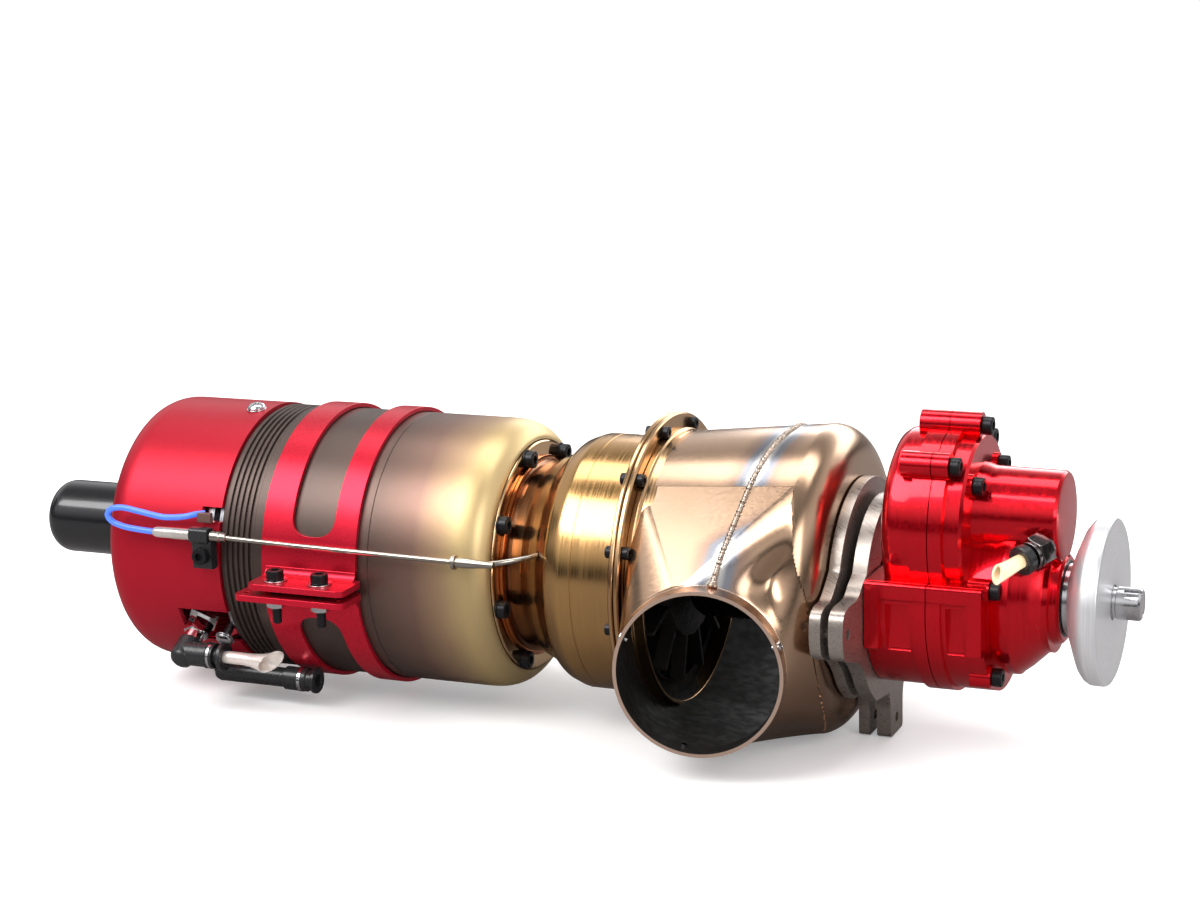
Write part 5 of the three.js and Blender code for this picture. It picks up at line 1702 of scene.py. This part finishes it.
        def radius(s: np.ndarray) -> np.ndarray:
            """Radius of the bead at a distance from the collar."""
            return 0.72 + 0.24 * np.abs(np.sin(s * 1.9)) + 0.08 * np.sin(s * 5.3) + np.exp(-((s / 2.0) ** 2))

        return pipe(spline(line, 700), radius, 12, 0.8)

    def build(self) -> None:
        """Makes the duct, its welds and its rivets, on both sides."""
        shape, lip_mm, black = self.horn()
        skin, body_black = self.body()
        line = self.seam_line([shape, skin])
        weld, rivets = self.weld(line), merged(self.rivets())
        for near, label in ((True, "near"), (False, "far")):
            obj = Piece(f"horn_{label}", shape.facing(near), DUCT, bevel=0, angle=50).build()
            self.paint(obj, distance_to(shape.points, line), lip_mm, black)
            Piece(f"weld_{label}", weld.facing(near), DUCT_WELD, bevel=0).build()
            Piece(f"rivets_{label}", rivets.facing(near), CHROME, bevel=0).build()
        body = Piece("duct_body", skin, DUCT, node="exhaust_duct", bevel=0, angle=50).build()
        folded = skin.points * np.array([1, -1, 1]) ** (skin.points[:, 1:2] > 0)
        self.paint(body, distance_to(folded, line), np.full(len(skin.points), 40.0), body_black)
        seal = lathe([(50.6, 42.4), (50.6, 44.3), (52.4, 44.3), (53.0, 43.6), (56.4, 43.4), (56.4, 42.4)],
                     192)
        Piece("duct_collar", seal, RING_STEEL, bevel=0.2).build()
        # Two near-black rings in the duct's mouth: painted shade that darkens the view inside.
        Piece("duct_shade_ring", ring(48.0, 52.6, 36.0, 36.6, 128), INSIDE_SHADE, bevel=0).build()
        Piece("duct_shade_face", ring(50.7, 51.2, 36.2, 42.0, 128), INSIDE_SHADE, bevel=0).build()

    def rivets(self) -> list[Shape]:
        """Three small rivets through the collar near the lip."""
        lip = self.horn_lines(288)[0]
        profile = [(-2.2, 0), (-2.2, 0.9), (0, 0.9), (0, 1.5), (0.4, 1.35), (0.65, 0.7), (0.35, 0.6),
                   (0.35, 0)]
        head = lathe(profile, 32)
        places = [lip[int(angle / TURN * len(lip))] for angle in (0.35, 2.75, 4.5)]
        return [head.aimed(p - self.out * 4.2, (p - np.array(self.outlet)) / self.outlet_radius)
                for p in places]

    def paint(self, obj: bpy.types.Object, seam_mm: np.ndarray, lip_mm: np.ndarray,
              black: np.ndarray) -> None:
        """Stores each corner's distances for the finish and paints shade on the inside faces, in near-black.

        Args:
            obj: the duct piece.
            seam_mm: distance of each corner from the weld.
            lip_mm: distance of each corner from the outlet's lip.
            black: which corners get painted shade; a face is painted black when all of its corners are.
        """
        mesh = obj.data
        for name, values in (("seam_mm", seam_mm), ("lip_mm", lip_mm)):
            layer = mesh.attributes.new(name, "FLOAT", "POINT")
            layer.data.foreach_set("value", np.asarray(values, np.float32))
        # Second material: the painted shade of the inside faces.
        mesh.materials.append(INSIDE_SHADE.material())
        slots = [int(all(black[k] for k in face.vertices)) for face in mesh.polygons]
        mesh.polygons.foreach_set("material_index", slots)


# ---------- mounts and gearbox


@dataclass
class MountPlates:
    """The two grey plates between duct and gearbox, and the dark tube that carries the shaft.

    Attributes:
        stations: back and front station of the rear and of the front plate.
        tops: radius of the round top of each plate.
        ear: distance of the ears' ends from the centre plane.
        hole: distance of the ear holes from the centre plane.
        foot: sideways place of the foot's middle.
        foot_half: half its width.
        tube: radius of the shaft tube.
    """

    stations: tuple[tuple[float, float], tuple[float, float]] = ((111.3, 114.8), (117.2, 121.7))
    tops: tuple[float, float] = (32.8, 28.0)
    ear: float = 50.0
    hole: float = 45.0
    foot: float = 4.5
    foot_half: float = 6.5
    tube: float = 15.0

    def outline(self, top: float) -> list[tuple[float, float]]:
        """Edge of a plate, counter-clockwise from the top: round top, waist, ear, leg and foot."""
        e = self.ear
        right = arc(0, 0, top, math.pi / 2, 0.36, 24)
        waist = spline([(top * math.cos(0.36), top * math.sin(0.36)), (top + 2.6, 7.8), (top + 7.4, 4.9),
                        (e - 5.5, 4.7), (e - 1.4, 3.2), (e, -0.5), (e - 0.1, -6), (e - 2.0, -10.2),
                        (e - 7.5, -12.6), (35, -15), (29, -20), (24, -26.5), (17, -32.5)], 60).tolist()
        side = right[:-1] + [tuple(p) for p in waist]
        left = [(-a, b) for a, b in side[1:]][::-1]
        f, h = self.foot, self.foot_half
        foot = rounded([(f + h + 1.8, -34.4), (f + h, -38.5), (f + h, -AXIS_HEIGHT), (f - h, -AXIS_HEIGHT),
                        (f - h, -38.5), (f - h - 1.8, -34.4)], 1.6, 4)
        whole = side + foot + left
        return whole[::-1]

    def build(self) -> None:
        """Makes both plates and the tube."""
        names = ("mount_plate_rear", "mount_plate_front")
        for (x0, x1), top, node in zip(self.stations, self.tops, names):
            holes = [circle(0, 0, self.tube + GAP, 96), circle(self.hole, -3.3, 1.6),
                     circle(-self.hole, -3.3, 1.6), circle(self.foot, -44.5, 1.6)]
            Piece(f"{node}_cut", plate(self.outline(top), holes, x0, x1), PLATE, node=node,
                  bevel=0.45).build()
        tube = lathe([(60, 12.8), (121.3, 12.8), (121.3, 15), (110, 15), (109.5, 14.6), (108, 14.6),
                      (107.5, 15), (62, 15), (60, 14)], 128)
        Piece("shaft_tube", tube, TUBE_STEEL, node="bearing_tube", bevel=0.2).build()


@dataclass
class Gearbox:
    """The red two-stage gearbox with its bosses, pockets, nose and screws.

    Attributes:
        back: station of the rear face.
        split: station of the joint between the halves.
        step: station of the upper front face.
        low_face: station of the lower front face.
        drum: radius of the lower half round the main axis.
        ledge: height where the lower half ends.
        hump: radius of the upper half.
        hump_z: height of its centre.
        lay_z: height of the second shaft.
        bosses: y, z and front station of the screw bosses.
        vent_seat: where the vent's axis meets the nose.
        vent_aim: direction of the vent.
    """

    back: float = 122.0
    split: float = 141.0
    step: float = 150.5
    low_face: float = 157.6
    drum: float = 29.5
    ledge: float = 9.0
    hump: float = 27.8
    hump_z: float = 22.0
    lay_z: float = 20.7
    bosses: tuple[tuple[float, float, float], ...] = ((0.0, 51.6, 150.1), (-21.0, 43.4, 146.0),
            (21.0, 43.4, 146.0))
    vent_seat: tuple[float, float, float] = (173.4, -14.6, 19.6)
    vent_aim: tuple[float, float, float] = (-0.46, -0.87, -0.19)

    def cavity(self, x0: float, x1: float) -> list[Shape]:
        """The two overlapping round hollows that the gears turn in."""
        return [rod(x0, x1, 18.3, 64), rod(x0, x1, 18.3, 64, 0, self.lay_z)]

    def half_drum(self, x0: float, x1: float) -> Shape:
        """The lower half between two stations: round below, square-shouldered at the ledge."""
        start = math.asin(self.ledge / self.drum)
        return plate(arc(0, 0, self.drum, -math.pi - start, start, 72), [], x0, x1)

    def build(self) -> None:
        """Makes both halves, the screws and the vent."""
        hz, h = self.hump_z, self.hump
        rear_hump = lathe([(125.6, 0), (125.6, h - 3.4), (126.4, h - 1.6), (128.0, h - 0.4), (129.6, h),
                           (134.6, h), (135.0, h + 1.2), (self.split - GAP, h + 1.2), (self.split - GAP, 0)],
                          128, 0, hz)
        rear_bosses = [rod(131.5, self.split - GAP, 4.0, 40, y, z) for y, z, _ in self.bosses]
        low_lip = self.lower_lip(self.split - 4.2, self.split - GAP)
        Piece("gearbox_case", self.half_drum(self.back, self.split - GAP), RED_BOX, node="gearbox_rear",
              bevel=0.5, joins=[rear_hump, low_lip, *rear_bosses,
                                *self.side_ribs(self.back, self.split - GAP)],
              cuts=[*self.cavity(128.6, self.split + 1), rod(self.back - 1, self.back + 10, 5.2, 48),
                    *self.pockets(128.2, 135.4)]).build()
        front_hump = lathe([(self.split, 0), (self.split, h + 1.2), (self.split + 4.0, h + 1.2),
                            (self.split + 4.4, h - 0.6), (self.step - 0.8, h - 0.8), (self.step, h - 1.8),
                            (self.step, 0)], 128, 0, hz)
        front_bosses = [rod(self.split, x, 4.0, 40, y, z) for y, z, x in self.bosses]
        lay_boss = lathe([(148, 0), (148, 15.6), (self.step + 1.6, 15.0), (self.step + 4, 14.3),
                          (174.8, 14.1), (175.7, 13.5), (176.0, 12.4), (176.0, 0)], 96, 0, 25.0)
        cone = lathe([(148, 0), (148, 22.6), (158, 22.8), (160.5, 24.0), (163.6, 24.0), (164.6, 23.0),
                      (167, 21.2), (171.4, 17.0), (172.0, 16.6), (173.6, 16.6), (173.8, 14.2), (175.6, 13.6),
                      (176.4, 12.6), (176.4, 0)], 128)
        ears = [rod(152.0, 158.4, 3.6, 40, y, z)
                for y, z in ((-22.0, 6.7), (22.0, 6.7), (-19.0, -20.6), (19.0, -20.6))]
        ears += [rod(self.split, 151.4, 3.5, 40, y, z) for y, z in ((-15.0, 36.5), (15.0, 36.5))]
        vent_cut = rod(-GAP, 14, 5.3, 40).aimed(self.vent_seat, self.vent_aim)
        Piece("gearbox_lid", self.half_drum(self.split, self.low_face), RED_BOX, node="gearbox_front",
              bevel=0.5, joins=[front_hump, lay_boss, cone, self.lower_lip(self.split, self.split + 4.2),
                                *front_bosses, *ears, *self.side_ribs(self.split, self.low_face)],
              cuts=[*self.cavity(self.split - 1, self.step - 1.2), rod(self.step - 2, 190, 6.4, 64),
                    rod(self.step + 1.2, 173.4, 10.3, 64),
                    rod(self.step - 2, self.step + 8, 3.3, 32, 0, self.lay_z), vent_cut,
                    *self.pockets(146.6, 151.8)]).build()
        self.screws()
        self.vent()

    def pockets(self, x0: float, x1: float) -> list[Shape]:
        """Shallow machined recesses in both side walls, between two stations."""
        walls = []
        for side in (-1, 1):
            low, high = sorted((side * 26.4, side * (self.drum + 6)))
            walls.append(slab(x0, x1, low, high, -13.0, 2.4, 1.6))
        return walls

    def lower_lip(self, x0: float, x1: float) -> Shape:
        """The joint flange round the lower half, a little prouder than its wall."""
        return plate(arc(0, 0, self.drum + 1.1, -math.pi - 0.28, 0.28, 72), [], x0, x1)

    def side_ribs(self, x0: float, x1: float) -> list[Shape]:
        """Rails on both side walls of one half, with a shallow pocket left between them."""
        bars = []
        for side in (-1, 1):
            low, high = sorted((side * 24.0, side * (self.drum + 0.9)))
            bars.append(slab(x0, x1, low, high, 3.6, 8.9, 1.0))
            end = x0 if x0 < 130 else x1 - 4.4
            bars.append(slab(end, end + 4.4, low, high, -12.0, 8.0, 1.0))
        return bars

    def screws(self) -> None:
        """The black cap screws of the gearbox."""
        big = socket_screw(2.75, 3.0, 1.5, 1.0)
        places = [(150.3, 0.0, 51.6), (146.1, -21.0, 43.4), (146.1, 21.0, 43.4), (151.5, -15.0, 36.5),
                  (151.5, 15.0, 36.5), (158.5, -22.0, 6.7), (158.5, 22.0, 6.7), (158.5, -19.0, -20.6),
                  (158.5, 19.0, -20.6)]
        heads = [big.aimed(p, AHEAD) for p in places]
        Piece("gearbox_screws", merged(heads), BLACK_SCREW, bevel=0).build()

    def vent(self) -> None:
        """The push-in vent fitting with its hexagon, collar and short tube."""
        start, aim = self.vent_seat, self.vent_aim
        body = merged([
            lathe([(0, 0), (0, 3.4), (2.0, 3.6), (2.0, 0)], 48).aimed(start, aim),
            hexagon_bar(1.9, 6.9, 9.4, 3.3).aimed(start, aim),
            lathe([(6.8, 3.3), (6.8, 4.5), (8.0, 4.5), (8.2, 4.3), (8.2, 3.3)], 48).aimed(start, aim),
        ])
        Piece("vent_hexagon", body, DARK_CHROME, node="vent_body", bevel=0.15).build()
        collar = lathe([(5.2, 2.4), (12.0, 2.4), (12.2, 2.7), (12.2, 4.0), (11.8, 4.5), (9.4, 4.5),
                        (9.2, 4.2), (9.2, 3.0), (5.2, 3.0)], 64)
        Piece("vent_collar", collar.aimed(start, aim), BLACK_PLASTIC, Body.VENT_RING, "vent_collet",
              0.12).build()
        s = np.linspace(0, 1, 24)[:, None]
        length = 18.2 + 1.6 * np.cos(FINE_ANGLES - 2.2)
        flare, ripple = 0.5 * np.clip((s - 0.5) / 0.5, 0, 1), 0.06 * np.sin(3 * FINE_ANGLES + 9 * s)
        stub = cut_tube(4 + length * s, [2.15 + flare - wall + ripple for wall in (0.0, 0.75)]).aimed(start,
                aim)
        Piece("vent_stub", stub, AMBER_TUBE, node="vent_tube", bevel=0).build()


@dataclass
class PropellerFlange:
    """The silver propeller disc, its spacer and the threaded stub.

    Attributes:
        back: station of the disc's back.
        face: station of its front face.
        radius: its radius.
        stub: radius of the stub.
        tip: station of the stub's end.
    """

    back: float = 178.6
    face: float = 190.2
    radius: float = 25.3
    stub: float = 5.0
    tip: float = 198.7

    def build(self) -> None:
        """Makes the disc, the spacer with its seal and the stub with its bore and slot."""
        r = self.radius
        profile = [(self.back, self.stub + GAP), (self.back, 12.6), (179.6, 15.4), (181.4, 19.8),
                   (182.6, 22.6), (184.0, 24.4), (185.4, r - 0.1), (186.2, r), (189.2, r), (189.9, r - 0.3),
                   (self.face, r - 0.9), (self.face, self.stub + GAP)]
        Piece("driver_disc", lathe(profile, 192), DRIVER, Body.PROPELLER, "prop_driver", 0.12).build()
        Piece("driver_spacer", ring(176.7, 178.3, 5.3, 10.8, 96), STEEL, Body.PROPELLER, "spacer_ring",
              0.15).build()
        seal = lathe([(175.9, 10.4), (176.6, 10.4), (176.6, 11.5), (175.9, 12.0)], 96)
        Piece("nose_seal", seal, BLACK_PLASTIC, bevel=0.1).build()
        turn = [(self.tip, 0), (self.tip, self.stub - 0.6), (self.tip - 0.6, self.stub), (191.6, self.stub),
                (191.3, 4.6), (190.6, 4.6), (190.3, self.stub), (141.5, self.stub), (141.5, 0)]
        bore = lathe([(self.tip - 7, 0), (self.tip - 7, 2.0), (self.tip - 1, 2.4), (self.tip + 1, 3.4),
                      (self.tip + 1, 0)], 48)
        slots = [slab(193.6, self.tip + 1, -1.0, 1.0, 3.2, 6.0, 0.3).turned(a) for a in (0.4, 0.4 + math.pi)]
        Piece("driver_stub", lathe(turn[::-1], 96), STEEL, Body.PROPELLER, "prop_shaft", 0.15,
              cuts=[bore, *slots]).build()


@dataclass
class HiddenPieces:
    """CAD nodes that stay as they are, inside the casing, the duct and the gearbox.

    Attributes:
        nodes: the nodes that get each finish.
    """

    nodes: dict[Finish, tuple[str, ...]] = field(
        default_factory=lambda: {
            STEEL: ("gas_shaft", "power_shaft", "layshaft", "output_gear"),
            BARE: ("diffuser", "shaft_tunnel"),
            BEARING: ("gas_bearing_front", "gas_bearing_rear", "power_bearing_rear", "power_bearing_front",
                      "prop_bearing"),
            HOT: ("combustion_liner", "fuel_manifold", "nozzle_ring", "gas_turbine_wheel", "power_stator",
                  "power_turbine_wheel"),
        }
    )

    def build(self) -> None:
        """Gives each kept node its finish."""
        for finish, names in self.nodes.items():
            for name in names:
                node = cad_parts[name]
                node.data.materials.clear()
                node.data.materials.append(finish.material())


# ---------- studio


TARGET = (0, 0, 0.05)  # middle of the object, metres


@dataclass
class Studio:
    """Pale floor, soft lights and the camera.

    Attributes:
        eye: place of the camera, metres.
        look: direction it looks in.
        up: direction of the top of the picture.
        lens: focal length on a 36 mm wide sensor.
    """

    eye: tuple[float, float, float] = (0.33607, -0.74172, 0.27002)
    look: tuple[float, float, float] = (-0.38545, 0.89546, -0.22269)
    up: tuple[float, float, float] = (-0.06111, 0.21604, 0.97447)
    lens: float = 77.9

    def light(self, name: str, place: Sequence[float], size: tuple[float, float], power: float) -> None:
        """Adds one rectangular light that looks at the object."""
        data = bpy.data.lights.new(name, "AREA")
        data.shape = "RECTANGLE"
        data.size, data.size_y = size
        data.energy = power
        lamp = bpy.data.objects.new(name, data)
        lamp.location = place
        lamp.rotation_euler = (Vector(TARGET) - Vector(place)).to_track_quat("-Z", "Y").to_euler()
        bpy.context.scene.collection.objects.link(lamp)

    def sheet(self, name: str, half: tuple[float, float], place: Sequence[float],
              look: bpy.types.Material) -> bpy.types.Object:
        """Adds a flat rectangle to the stage, level until it is turned."""
        w, h = half
        mesh = bpy.data.meshes.new(name)
        mesh.from_pydata([(-w, -h, 0), (w, -h, 0), (w, h, 0), (-w, h, 0)], [], [(0, 1, 2, 3)])
        mesh.materials.append(look)
        obj = bpy.data.objects.new(name, mesh)
        obj.location = place
        bpy.context.scene.collection.objects.link(obj)
        return obj

    def card(self, name: str, place: Sequence[float], size: tuple[float, float], shade: float) -> None:
        """Adds a matt card that only shows in reflections, facing the object."""
        look = matt(f"{name}_matt", (shade, shade, shade))
        obj = self.sheet(name, (size[0] / 2, size[1] / 2), place, look)
        obj.rotation_euler = (Vector(TARGET) - Vector(place)).to_track_quat("Z", "Y").to_euler()
        obj.visible_camera = obj.visible_shadow = obj.visible_diffuse = False

    def floor(self) -> bpy.types.Material:
        """A pale matt floor that is darker in polished metal and glows a little for the camera."""
        made = matt("floor_matt", (0.86, 0.86, 0.86))
        g = Graph(made.node_tree)
        shader = made.node_tree.nodes["Principled BSDF"]
        path = g.add("LightPath")
        shade = g.blend(path.outputs["Is Glossy Ray"], (0.88, 0.88, 0.88, 1), (0.16, 0.15, 0.15, 1))
        g.feed(shader.inputs["Base Color"], shade)
        shader.inputs["Emission Color"].default_value = (1, 1, 1, 1)
        g.feed(shader.inputs["Emission Strength"], g.math("MULTIPLY", path.outputs["Is Camera Ray"], 0.22))
        return made

    def surroundings(self) -> bpy.types.World:
        """A white room whose walls are dark and whose upper part is bright in polished metal."""
        world = bpy.data.worlds.new("studio")
        world.use_nodes = True
        g = Graph(world.node_tree)
        white = world.node_tree.nodes["Background"]
        white.inputs[0].default_value = (0.98, 0.985, 1.0, 1.0)
        white.inputs[1].default_value = 0.95
        upward = g.parts(g.add("TexCoord").outputs["Generated"])["Z"]
        levels = ((0.0, 0.05), (0.10, 0.08), (0.24, 0.55), (0.42, 1.0), (0.62, 0.75), (0.80, 0.22),
                  (1.0, 0.35))
        shades = [(spot, (level, level, level * 1.02)) for spot, level in levels]
        room = g.add("Background", g.ramp(upward, shades))
        glossy = g.add("LightPath").outputs["Is Glossy Ray"]
        mix = g.add("MixShader", glossy, white.outputs[0], room.outputs[0])
        g.feed(world.node_tree.nodes["World Output"].inputs["Surface"], mix.outputs[0])
        return world

    def build(self) -> None:
        """Makes the floor, the lights, the world and the camera."""
        scene = bpy.context.scene
        self.sheet("floor", (6, 6), (0, 0, -0.0004), self.floor())
        scene.world = self.surroundings()
        scene.view_settings.view_transform = "Standard"
        self.light("key", (-0.55, -0.75, 1.05), (0.9, 0.7), 16.0)
        self.light("fill", (1.1, -0.9, 0.7), (0.6, 0.9), 7.0)
        self.light("top", (0.0, 0.25, 1.3), (1.4, 0.5), 10.0)
        self.light("back", (0.2, 1.4, 0.6), (1.6, 0.6), 9.0)
        self.card("dark_low", (0.1, -1.3, 0.02), (2.4, 0.35), 0.02)
        self.card("dark_side", (-1.3, -0.2, 0.3), (0.5, 0.9), 0.03)
        self.card("dark_right", (0.75, -1.15, 0.75), (0.22, 1.3), 0.02)
        data = bpy.data.cameras.new("camera")
        data.lens, data.sensor_width = self.lens, 36.0
        data.clip_start, data.clip_end = 0.01, 50.0
        camera = bpy.data.objects.new("camera", data)
        look = Vector(self.look).normalized()
        right = look.cross(Vector(self.up)).normalized()
        up = right.cross(look)
        turn = Matrix((right, up, -look)).transposed()
        camera.matrix_world = Matrix.Translation(self.eye) @ turn.to_4x4()
        scene.collection.objects.link(camera)
        scene.camera = camera


def matt(name: str, colour: Colour) -> bpy.types.Material:
    """A plain matt material for the stage."""
    made = bpy.data.materials.new(name)
    made.use_nodes = True
    shader = made.node_tree.nodes["Principled BSDF"]
    shader.inputs["Base Color"].default_value = (*colour, 1.0)
    shader.inputs["Roughness"].default_value = 0.7
    return made


def main() -> None:
    """Builds the whole object and the studio."""
    logging.basicConfig(level=logging.INFO)
    for part in (
        Starter(), Intake(), Casing(), TailFlange(), Clamp(), Probe(), FuelFittings(), PowerSection(),
        ExhaustDuct(),
        MountPlates(), Gearbox(), PropellerFlange(), HiddenPieces(),
    ):
        LOG.info("building %s", type(part).__name__)
        part.build()
    Studio().build()


if __name__ == "__main__":
    main()
